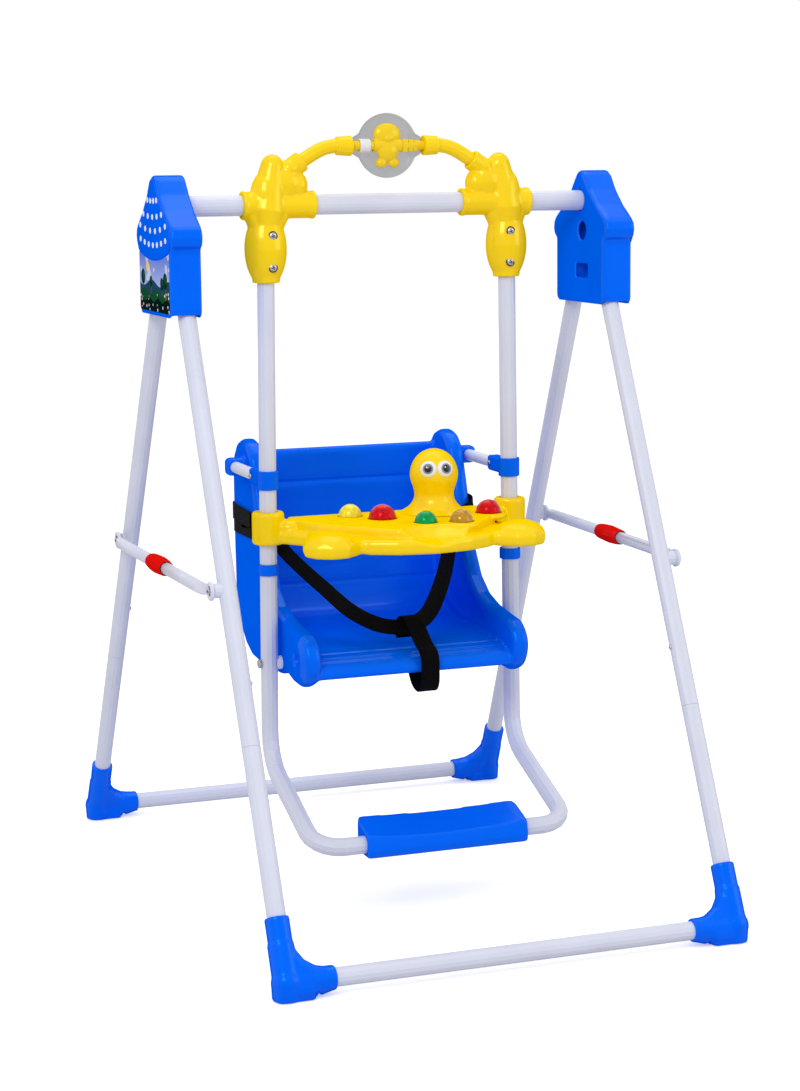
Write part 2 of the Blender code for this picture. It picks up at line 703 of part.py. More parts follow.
def hanger(side, name):
    """A soft moulded T-piece round the crossbar, with a bulb below and two humps on top."""
    x = side * SWING_TOP_X
    shapes = [
        rod("shape", (side * 0.120, 0, BAR_HEIGHT), (side * 0.2445, 0, BAR_HEIGHT), 0.0215, sides=28),
        rod("shape", (x, 0, 0.978), (x, 0, 1.10), 0.0220, sides=28),
        ball("shape", (x, 0, 1.032), (0.0335, 0.0315, 0.060), segments=28, rings=20),
        rod("shape", (x, 0, 1.066), (x, 0, 1.092), 0.0250, sides=28, end_radius=0.0300),
        rod("shape", (side * 0.2000, 0, 1.088), (side * 0.1910, 0, 1.160), 0.0315, sides=28,
            end_radius=0.0175),
        ball("shape", (side * 0.1905, 0, 1.1565), (0.0190, 0.0195, 0.0220), segments=28, rings=20),
        ball("shape", (side * 0.1560, 0, 1.159), (0.0165, 0.0170, 0.0175), segments=28, rings=20),
        ball("shape", (side * 0.1490, 0, 1.131), (0.0150, 0.0180, 0.0180), segments=28, rings=20),
        ball("shape", (side * 0.1680, 0, 1.137), (0.0240, 0.0200, 0.0260), segments=28, rings=20),
    ]
    body = blend_shapes(name, shapes, YELLOW_PLASTIC, 0.0026, 330)
    bar_bore = rod(name + "_bar_bore", (side * 0.09, 0, BAR_HEIGHT), (side * 0.28, 0, BAR_HEIGHT),
                   BAR_RADIUS + 2 * GAP, sides=18)
    bore_top = SWING_TOP_Z + 2 * GAP
    tube_bore = rod(name + "_tube_bore", (side * swing_x(0.95), 0, 0.95),
                    (side * swing_x(bore_top), 0, bore_top), TUBE_RADIUS + 2 * GAP, sides=16)
    foot_end, next_point = arch_route(side)[:2]
    along = (next_point - foot_end).normalized()
    arch_bore = rod(name + "_arch_bore", foot_end - along * 0.0005, next_point + along * 0.015,
                    ARCH_RADIUS + GAP, sides=14)
    trims = [
        box(name + "_inner_end", (side * 0.1120, 0, BAR_HEIGHT), (0.022, 0.06, 0.06)),
        box(name + "_outer_end", (side * 0.2535, 0, BAR_HEIGHT), (0.022, 0.06, 0.06)),
        box(name + "_lower_end", (x, 0, 0.9685), (0.06, 0.06, 0.022)),
    ]
    cut(body, *trims, bar_bore, tube_bore, arch_bore)
    return hang(smooth(body, 50), SWING)


def arch(side, name):
    """A bent tube from the hanger to the flared collar that holds the toy's spindle."""
    tube = bent_tube(name, arch_route(side), ARCH_RADIUS, YELLOW_PLASTIC, 3)
    fuse(tube, rod(name + "_collar", (side * 0.0850, 0, SPINNER_Z), (side * 0.0605, 0, SPINNER_Z),
                   COLLAR_END_RADIUS, sides=14, end_radius=COLLAR_FLARE_RADIUS))
    cut(tube, rod(name + "_socket", (side * 0.040, 0, SPINNER_Z), (side * 0.0775, 0, SPINNER_Z),
                  SPINDLE_RADIUS + 2 * GAP, sides=12))
    return hang(smooth(tube, 40), SWING)


def swing_tube_route(side):
    """Down from the hanger, forward under the seat, then in to the footrest."""
    points = [Vector((side * swing_x(SWING_TOP_Z), 0, SWING_TOP_Z)),
              Vector((side * SWING_LOW_X, 0, SWING_BEND_Z))]
    turn = math.pi / 2 - SWING_PITCH
    steps = 5
    for step in range(1, steps + 1):
        angle = turn * step / steps
        points.append(Vector((side * SWING_LOW_X, -SWING_BEND_RADIUS * (1 - math.cos(angle)),
                              SWING_BEND_Z - SWING_BEND_RADIUS * math.sin(angle))))
    forward = Vector((0, -math.cos(SWING_PITCH), -math.sin(SWING_PITCH)))
    start = points[-1]
    run = (start.y - FOOTREST_Y) / math.cos(SWING_PITCH) - FOOTREST_CORNER
    corner_start = start + forward * run
    inward = Vector((-side, 0, 0))
    for step in range(0, steps + 1):
        angle = math.pi / 2 * step / steps
        points.append(corner_start + forward * FOOTREST_CORNER * math.sin(angle)
                      + inward * FOOTREST_CORNER * (1 - math.cos(angle)))
    end = points[-1].copy()
    end.x = side * 0.004
    points.append(end)
    return points


def swing_tube(side, name):
    tube = bent_tube(name, swing_tube_route(side), TUBE_RADIUS, WHITE_PAINT, 4)
    x = side * swing_x(SEAT_BOLT_Z)
    cut(tube, rod(name + "_bolt_hole", (x - 0.04, 0, SEAT_BOLT_Z), (x + 0.04, 0, SEAT_BOLT_Z),
                  PIN_RADIUS + GAP, sides=14))
    return hang(tube, SWING)


def footrest(name):
    """A tread moulded round the cross tube, dished along its length."""
    z = swing_tube_route(1)[-1].z
    profile = [(-0.252, z - 0.0185), (-0.255, z - 0.008), (-0.250, z + 0.018), (-0.236, z + 0.0235),
               (-0.192, z + 0.037), (-0.186, z + 0.030), (-0.188, z + 0.004), (-0.200, z - 0.010),
               (-0.215, z - 0.0185)]
    body = side_plate(name, profile, 0, 2 * FOOTREST_HALF, BLUE_PLASTIC)
    bevel(body, 0.003, 2, 40)
    slope = math.atan2(FOOTREST_RISE, FOOTREST_DEPTH)
    along = Vector((0, math.cos(slope), math.sin(slope)))
    over = Vector((0, -math.sin(slope), math.cos(slope)))
    steps = 8
    arch_line = []
    for step in range(steps + 1):
        share = 2 * step / steps - 1
        arch_line.append((share * (FOOTREST_HALF + 0.004), FOOTREST_SAG * (share ** 2 - 1)))
    place = Matrix.Translation((0, -0.250, z + 0.0185)) @ Matrix((
        (1, 0, 0, 0), (0, over.y, along.y, 0), (0, over.z, along.z, 0), (0, 0, 0, 1)))
    dish = plate(name + "_dish", arch_line + [(0.15, 0.05), (-0.15, 0.05)], 0.30, place)
    bore = rod(name + "_bore", (-0.2, FOOTREST_Y, z), (0.2, FOOTREST_Y, z), TUBE_RADIUS + 2 * GAP,
               sides=16)
    cut(body, dish, bore)
    return hang(smooth(body, 35), SWING)


def band(name, side, z, height, material):
    """A ring clamped round a swing tube."""
    x = side * swing_x(z)
    ring = rod(name, (x, 0, z - height / 2), (x, 0, z + height / 2), TUBE_RADIUS + 0.0035, material,
               14)
    bevel(ring, 0.0010, 1, 60)
    return ring


def bore_band(ring, name, side, z):
    x = side * swing_x(z)
    start = (side * swing_x(z + 0.05), 0, z + 0.05)
    end = (side * swing_x(z - 0.05), 0, z - 0.05)
    cut(ring, rod(name + "_bore", start, end, TUBE_RADIUS + 4 * GAP, sides=14))
    return hang(smooth(ring, 40), SWING)


def clamp(side, name):
    """The upper clamp, with a lug behind it that the link is screwed to."""
    ring = band(name, side, CLAMP_Z, 0.030, BLUE_PLASTIC)
    x = side * swing_x(CLAMP_Z)
    lug_start = TUBE_RADIUS - 0.004
    lug = box(name + "_lug", (x, (lug_start + LINK_FRONT_Y - GAP) / 2, CLAMP_Z),
              (0.021, LINK_FRONT_Y - GAP - lug_start, 0.025))
    fuse(ring, bevel(lug, 0.003, 1, 60))
    return bore_band(ring, name, side, CLAMP_Z)


def link_tube(side, name):
    """The short tube from the clamp to the bracket on the seat's back."""
    x = side * swing_x(CLAMP_Z)
    tube = rod(name, (x, LINK_FRONT_Y, CLAMP_Z), (x, LINK_REAR_Y - GAP, CLAMP_Z), THIN_TUBE_RADIUS,
               WHITE_PAINT, 16)
    return hang(tube, SWING)


hanger(-1, "hanger_left")
hanger(1, "hanger_right")
for side, side_name in SIDES:
    arch(side, "arch_" + side_name)
    swing_tube(side, "swing_tube_" + side_name)
    clamp(side, "clamp_" + side_name)
    ring = band("stop_ring_" + side_name, side, RING_Z, 0.018, BLUE_PLASTIC)
    bore_band(ring, "stop_ring_" + side_name, side, RING_Z)
    link_tube(side, "link_" + side_name)
footrest("footrest")


# Seat: two scrolled wings joined by a panelled back and a fluted base

def wing_outline():
    """The wing seen from the side: a scroll at the top of the back and one at the front."""
    outline = arc((-0.085, 0.391), 0.044, 80, 262, 6)
    outline += [(-0.055, 0.349), (-0.020, 0.357), (0.020, 0.348), (0.120, 0.345)]
    outline += arc((0.140, 0.465), 0.120, -75, -8, 4)
    outline += [(0.262, 0.540)]
    outline += arc((0.205, 0.655), 0.058, -5, 178, 6)
    outline += [(0.134, 0.620), (0.118, 0.570), (0.098, 0.522), (0.070, 0.480), (0.035, 0.456),
                (-0.010, 0.443)]
    return outline


def wing(side, name):
    middle = side * (WING_INNER_X + WING_OUTER_X) / 2
    body = side_plate(name, wing_outline(), middle, WING_OUTER_X - WING_INNER_X)
    bevel(body, 0.009, 2, 30)
    return body


def panel_outline():
    """The back and base in section, as one bent slab."""
    front = [(0.224, 0.683), (0.224, 0.490)]
    front += arc((0.129, 0.490), 0.093, 0, -88, 7)
    front += [(-0.060, 0.394), (-0.090, 0.391), (-0.108, 0.384), (-0.117, 0.372), (-0.117, 0.364)]
    rear = [(-0.108, 0.360), (0.100, 0.362)]
    rear += arc((0.135, 0.470), 0.107, -78, 2, 7)
    rear += [(0.242, 0.683), (0.238, 0.688), (0.229, 0.688)]
    return front + rear


def seat(name):
    """The moulded seat, all one piece with its link brackets."""
    body = side_plate(name, panel_outline(), 0, 2 * WING_INNER_X + 0.016, BLUE_PLASTIC)
    for side, side_name in SIDES:
        fuse(body, wing(side, name + "_wing_" + side_name))
        x = side * swing_x(CLAMP_Z)
        bracket = box(name + "_bracket_" + side_name, (side * 0.1975, LINK_REAR_Y + 0.0125, CLAMP_Z),
                      (0.048, 0.025, 0.030))
        fuse(body, bevel(bracket, 0.005, 1, 60))
        hub = rod(name + "_hub_" + side_name, (side * (WING_OUTER_X - 0.004), -0.085, 0.391),
                  (side * (WING_OUTER_X + 0.0035), -0.085, 0.391), 0.031, sides=16)
        fuse(body, bevel(hub, 0.0015, 1, 60))
    grooves = [(0.224, 0.632), (0.224, 0.503), (0.2165, 0.458), (-0.040, 0.3945), (-0.066, 0.3930),
               (-0.092, 0.3900)]
    for index, (y, z) in enumerate(grooves):
        groove = rod(name + "_groove_" + str(index), (-0.1615, y, z), (0.1615, y, z), 0.0040, sides=4)
        cut(body, groove)
    for side, side_name in SIDES:
        recess = side_plate(name + "_recess_" + side_name, RECESS_OUTLINE,
                            side * (WING_INNER_X + RECESS_DEPTH - 0.006), 0.012)
        cut(body, recess)
        hole = rod(name + "_hub_hole_" + side_name, (side * (WING_OUTER_X - 0.007), -0.085, 0.391),
                   (side * (WING_OUTER_X + 0.02), -0.085, 0.391), 0.0105, sides=12)
        bolt_hole = rod(name + "_bolt_hole_" + side_name, (side * (WING_INNER_X - 0.02), 0, SEAT_BOLT_Z),
                        (side * (WING_OUTER_X + 0.02), 0, SEAT_BOLT_Z), PIN_RADIUS + GAP, sides=10)
        cut(body, hole, bolt_hole)
    return hang(smooth(body, 35), SWING)


def seat_bolt(side, name):
    """A bolt through the swing tube and the wing, with a round head outside the tube."""
    x = swing_x(SEAT_BOLT_Z)
    head_inner = side * (x + TUBE_RADIUS + GAP)
    shank = rod(name, (side * (WING_INNER_X + 0.002), 0, SEAT_BOLT_Z),
                (side * (x + TUBE_RADIUS + 0.004), 0, SEAT_BOLT_Z), PIN_RADIUS, STEEL_PLATED, 10)
    head = rod(name + "_head", (head_inner, 0, SEAT_BOLT_Z),
               (head_inner + side * 0.0045, 0, SEAT_BOLT_Z), 0.0075, sides=10)
    return hang(fuse(shank, bevel(head, 0.0012, 1, 60)), SWING)


def seat_bush(side, name):
    """The white spacer between the swing tube and the seat's wing."""
    x = swing_x(SEAT_BOLT_Z)
    bush = rod(name, (side * (WING_OUTER_X + GAP), 0, SEAT_BOLT_Z), (side * x, 0, SEAT_BOLT_Z),
               0.0110, WHITE_PLASTIC, 14)
    tube = rod(name + "_saddle", (side * swing_x(0.5), 0, 0.5), (side * swing_x(0.28), 0, 0.28),
               TUBE_RADIUS + 2 * GAP, sides=16)
    hole = rod(name + "_hole", (side * 0.15, 0, SEAT_BOLT_Z), (side * 0.25, 0, SEAT_BOLT_Z),
               PIN_RADIUS + GAP, sides=10)
    return hang(cut(bush, tube, hole), SWING)


seat("seat")
for side, side_name in SIDES:
    seat_bolt(side, "seat_bolt_" + side_name)
    seat_bush(side, "seat_bush_" + side_name)


# Tray: a lobed shell that slides on the two swing tubes, with a toy head and five press domes

TOY_HEAD = Vector((0.0605, -0.0385, TRAY_TOP_Z))
DOMES = (
    ("dome_yellow", -0.080, -0.030, 0.0190, YELLOW_PLASTIC),
    ("dome_red_left", -0.041, -0.074, 0.0222, RED_PLASTIC),
    ("dome_green", 0.007, -0.142, 0.0180, GREEN_PLASTIC),
    ("dome_amber", 0.062, -0.154, 0.0185, AMBER_PLASTIC),
    ("dome_red_right", 0.138, -0.080, 0.0205, RED_PLASTIC),
)
DECK_OUTLINE = ((0.0, -0.201), (0.056, -0.191), (0.084, -0.166), (0.120, -0.124), (0.152, -0.082),
                (0.168, -0.040), (0.177, 0.000), (0.172, 0.013), (0.0, 0.014))


def mirrored(right):
    """An outline from its right half, whose first and last points lie on the middle."""
    return list(right) + [(-x, y) for x, y in reversed(right[1:-1])]


def shelf_outline(inset=0.0):
    """The tray's lower edge from above, waisted at the sides, with a lobe at each front corner."""
    right = [(0.0, -0.214 + inset), (0.060, -0.203 + inset), (0.099, -0.184 + inset),
             (0.111 + inset / 2, -0.174 + inset)]
    right += arc(LOBE_CENTRE, LOBE_RADIUS - inset, -150, 68, 6)
    right += [(0.165 - inset, -0.100), (0.164 - inset, -0.064), (0.186 - inset, -0.034),
              (0.204 - inset, -0.016), (0.200 - inset, 0.020 - inset), (0.0, 0.018 - inset)]
    return mirrored(right)


def tray_shell(name):
    """A deck on a lobed shelf, hollow below, with a scooped front and a collar round each tube."""
    shelf_middle = (SHELF_Z + TRAY_BOTTOM_Z) / 2
    body = plate(name, shelf_outline(), SHELF_Z - TRAY_BOTTOM_Z, Matrix.Translation((0, 0, shelf_middle)),
                 YELLOW_PLASTIC)
    bevel(body, 0.0075, 2, 50)
    deck_low = SHELF_Z - TRAY_SKIN
    deck = plate(name + "_deck", mirrored(DECK_OUTLINE), TRAY_TOP_Z - deck_low,
                 Matrix.Translation((0, 0, (TRAY_TOP_Z + deck_low) / 2)))
    fuse(body, bevel(deck, 0.0050, 2, 50))
    scoop = ball(name + "_scoop", (0.010, -0.238, TRAY_TOP_Z + 0.012), (0.088, 0.078, 0.040),
                 segments=20, rings=8)
    hollow = plate(name + "_hollow", shelf_outline(TRAY_SKIN), 0.060,
                   Matrix.Translation((0, 0, SHELF_Z - 0.0145 - 0.030)))
    cut(body, scoop, hollow)
    for side, side_name in SIDES:
        x = side * swing_x(0.592)
        collar = rod(name + "_collar_" + side_name, (x, 0, TRAY_BOTTOM_Z - 0.0007),
                     (x, 0, COLLAR_TOP_Z), COLLAR_RADIUS, sides=16)
        fuse(body, bevel(collar, 0.003, 1, 60))
        bore = rod(name + "_bore_" + side_name, (side * swing_x(0.66), 0, 0.66),
                   (side * swing_x(0.53), 0, 0.53), TUBE_RADIUS + 0.0009, sides=14)
        cut(body, bore)
    for dome_name, x, y, radius, _ in DOMES:
        seat_ring = rod(dome_name + "_seat", (x, y, TRAY_TOP_Z - DOME_SEAT_DEPTH), (x, y, TRAY_TOP_Z + 0.02),
                        radius + 0.0018, sides=12)
        hole = rod(dome_name + "_hole", (x, y, TRAY_TOP_Z - 0.038), (x, y, TRAY_TOP_Z + 0.02),
                   radius * DOME_STEM_SHARE + 2 * GAP, sides=12)
        cut(body, seat_ring, hole)
    return hang(smooth(body, 40), TRAY)


def toy_head(name):
    """A round head on a flared neck, like a small sea animal's."""
    profile = [(0.0, 0.1035), (0.014, 0.1010), (0.0265, 0.0930), (0.0355, 0.0790), (0.0388, 0.0640),
               (0.0370, 0.0510), (0.0325, 0.0390), (0.0315, 0.0300), (0.0340, 0.0200),
               (0.0400, 0.0120), (0.0470, 0.0055), (0.0515, GAP), (0.0, GAP)]
    head = turned(name, profile, TOY_HEAD, (0, 0, 0), YELLOW_PLASTIC, 14)
    return hang(head, TRAY)


def dome(name, x, y, radius, material):
    """A press dome: a round cap on a stem that slides in the tray's top."""
    profile = []
    steps = 4
    rise = radius * 0.86
    for step in range(steps + 1):
        angle = math.pi / 2 * (1 - step / steps)
        profile.append((radius * math.cos(angle) if step else 0.0, rise * math.sin(angle)))
    stem = radius * DOME_STEM_SHARE
    profile += [(stem, 0.0), (stem, -DOME_STEM_LENGTH), (0.0, -DOME_STEM_LENGTH)]
    axis = empty_at("axis_" + name, (x, y, TRAY_TOP_Z))
    hang(axis, TRAY)
    cap = turned(name, profile, (x, y, TRAY_TOP_Z + 0.0004), (0, 0, 0), material, 12)
    return hang(cap, axis)


tray_shell("tray")
toy_head("toy_head")
for dome_name, dome_x, dome_y, dome_radius, dome_material in DOMES:
    dome(dome_name, dome_x, dome_y, dome_radius, dome_material)


# Spinner: a clear lens-shaped case with a small bear in it, turning on a fixed spindle

def spindle(name):
    bar = rod(name, (-0.0770, 0, SPINNER_Z), (0.0770, 0, SPINNER_Z), SPINDLE_RADIUS, YELLOW_PLASTIC,
              16)
    return hang(bar, SWING)


def lens(name, inset=0.0, material=None):
    """A flattened ball with its round side to the front."""
    radius = CASE_RADIUS - inset
    body = ball(name, (0, 0, SPINNER_Z), (radius, radius, CASE_HALF_DEPTH - inset), material, 24, 6)
    body.rotation_euler = (math.pi / 2, 0, 0)
    return body


def case(name):
    """Two clear half lenses as one hollow shell with a neck at each side."""
    body = lens(name, 0.0, CLEAR_PLASTIC)
    fuse(body, rod(name + "_neck", (-NECK_END_X, 0, SPINNER_Z), (NECK_END_X, 0, SPINNER_Z),
                   NECK_RADIUS, sides=14))
    bore = rod(name + "_bore", (-0.08, 0, SPINNER_Z), (0.08, 0, SPINNER_Z), SPINDLE_RADIUS + SPIN_GAP,
               sides=12)
    cut(body, lens(name + "_inside", CASE_SKIN), bore)
    return hang(smooth(body, 40), SPINNER)


def bear(name):
    """A plain little bear, head above the spindle and feet below it."""
    def at(x, y, z):
        return (x, y, SPINNER_Z + z)
    shapes = [
        ball("shape", at(0, 0, 0.0145), (0.0225, 0.0104, 0.0215), segments=24, rings=16),
        ball("shape", at(0, -0.0004, -0.0100), (0.0175, 0.0104, 0.0180), segments=24, rings=16),
        ball("shape", at(-0.0150, 0, -0.0270), (0.0085, 0.0066, 0.0078), segments=18, rings=12),
        ball("shape", at(0.0150, 0, -0.0270), (0.0085, 0.0066, 0.0078), segments=18, rings=12),
        ball("shape", at(-0.0155, 0, 0.0280), (0.0062, 0.0046, 0.0062), segments=18, rings=12),
        ball("shape", at(0.0155, 0, 0.0280), (0.0062, 0.0046, 0.0062), segments=18, rings=12),
        rod("shape", at(-0.0235, 0, 0), at(0.0235, 0, 0), 0.0100, sides=24),
    ]
    body = blend_shapes(name, shapes, YELLOW_PLASTIC, 0.0018, 220)
    cut(body, rod(name + "_bore", at(-0.05, 0, 0), at(0.05, 0, 0), SPINDLE_RADIUS + SPIN_GAP, sides=12))
    return hang(smooth(body, 50), SPINNER)


spindle("spindle")
case("spinner_case")
bear("spinner_bear")


# Straps: webbing bands on the seat, clear of everything round them

LAP_ROUTE = ((0.1945, 0.246, 0.580), (0.1945, 0.180, 0.584), (0.1945, 0.128, 0.586),
             (0.1780, 0.096, 0.584), (0.1580, 0.104, 0.570), (0.1400, 0.100, 0.536),
             (0.1100, 0.066, 0.492), (0.0700, 0.004, 0.450), (0.0250, -0.052, 0.428))
REAR_ROUTE = ((0.1945, 0.252, 0.580), (0.1860, 0.2665, 0.580), (0.1640, 0.2665, 0.580),
              (0.1540, 0.2460, 0.580))
CROTCH_ROUTE = ((0.012, -0.066, 0.4180), (0.016, -0.090, 0.4050), (0.018, -0.110, 0.3980),
                (0.019, -0.1235, 0.3850), (0.019, -0.1265, 0.3600), (0.019, -0.1245, 0.3370))


def strap(name, route, across):
    """A band along a route."""
    return hang(ribbon(name, route, [across] * len(route), STRAP_THICKNESS, BLACK_WEBBING), SWING)


def lap_strap(side, name):
    """From outside the wing round its front edge and down to the middle of the lap."""
    return strap(name, [(side * x, y, z) for x, y, z in LAP_ROUTE], (0, 0, STRAP_HALF))


def rear_strap(name):
    """Across the back of the seat and round the rear edge of each wing."""
    route = [(-x, y, z) for x, y, z in REAR_ROUTE] + [(x, y, z) for x, y, z in reversed(REAR_ROUTE)]
    return strap(name, route, (0, 0, STRAP_HALF))


for side, side_name in SIDES:
    lap_strap(side, "strap_" + side_name)
rear_strap("strap_rear")
strap("strap_crotch", CROTCH_ROUTE, (STRAP_HALF, 0, 0))
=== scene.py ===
"""Looks of a folding baby swing set: finishes, straps, fastenings, toy face, studio and camera.

Metres, in the frame's own axes: X runs along the crossbar, the child faces -Y, and Z is up.
"""
import logging
import math
from dataclasses import dataclass, field
from enum import Enum
from typing import Iterable, Sequence

import bmesh
import bpy
from mathutils import Matrix, Vector


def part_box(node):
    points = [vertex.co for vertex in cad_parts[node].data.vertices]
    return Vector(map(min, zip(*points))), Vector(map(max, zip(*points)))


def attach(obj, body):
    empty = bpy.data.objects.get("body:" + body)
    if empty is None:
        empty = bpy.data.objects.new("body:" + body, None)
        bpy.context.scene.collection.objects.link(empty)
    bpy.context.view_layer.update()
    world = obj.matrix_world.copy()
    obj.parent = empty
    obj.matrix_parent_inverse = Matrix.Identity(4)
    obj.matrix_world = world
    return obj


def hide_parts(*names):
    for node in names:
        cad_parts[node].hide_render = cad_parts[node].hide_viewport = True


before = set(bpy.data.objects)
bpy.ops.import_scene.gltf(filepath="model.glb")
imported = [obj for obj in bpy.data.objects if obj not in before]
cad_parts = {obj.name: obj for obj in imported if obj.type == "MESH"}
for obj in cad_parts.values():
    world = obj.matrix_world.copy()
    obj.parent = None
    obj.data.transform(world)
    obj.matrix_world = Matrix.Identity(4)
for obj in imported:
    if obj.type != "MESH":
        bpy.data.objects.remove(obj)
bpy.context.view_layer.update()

LOG = logging.getLogger("swing_set")
Colour = tuple[float, float, float, float]
Point = tuple[float, float, float]

WELD = 0.000005
CAD_WELD = 0.00001
SHARP_EDGE = 0.6
SOFTENING = 0.5
LEG_PIVOT_Y = 0.051
LEG_PIVOT_Z = 0.985
LEG_TILT = math.radians(26.2)
FRONT_LEG_X = 0.3535
REAR_LEG_X = 0.3546
REAR_LEG_SPLAY = 0.0251
CROSSBAR_Z = 1.1
TRAY_TOP = 0.606
HEAD_AT: Point = (0.0605, -0.0385, TRAY_TOP)


class Slot(Enum):
    """The record's material slots."""

    BLUE = "blue_plastic"
    YELLOW = "yellow_plastic"
    WHITE_PAINT = "white_paint"
    RED = "red_plastic"
    GREEN = "green_plastic"
    AMBER = "amber_plastic"
    WHITE = "white_plastic"
    WEBBING = "black_webbing"
    STEEL = "steel_plated"
    CLEAR = "clear_plastic"


class Side(Enum):
    """The two ends of the crossbar, by the sign of X."""

    LEFT = -1
    RIGHT = 1

    @property
    def word(self) -> str:
        """The side's name as node names use it."""
        return self.name.lower()

    @property
    def out(self) -> Vector:
        """The direction away from the middle."""
        return Vector((self.value, 0.0, 0.0))


class Face(Enum):
    """The front and rear frames, by the sign of Y."""

    FRONT = -1
    REAR = 1

    @property
    def word(self) -> str:
        """The frame's name as node names use it."""
        return self.name.lower()


@dataclass(frozen=True)
class Tint:
    """A colour as it looks on a screen, 0 to 255 a channel."""

    red: float
    green: float
    blue: float

    def linear(self, gain: float = 1.0) -> Colour:
        """The colour for a shader socket.

        Args:
            gain: how much lighter or darker than the tint itself.

        Returns:
            Linear red, green, blue and alpha.
        """
        parts = []
        for channel in (self.red, self.green, self.blue):
            share = channel / 255.0
            value = share / 12.92 if share <= 0.04045 else ((share + 0.055) / 1.055) ** 2.4
            parts.append(min(1.0, value * gain))
        return (parts[0], parts[1], parts[2], 1.0)


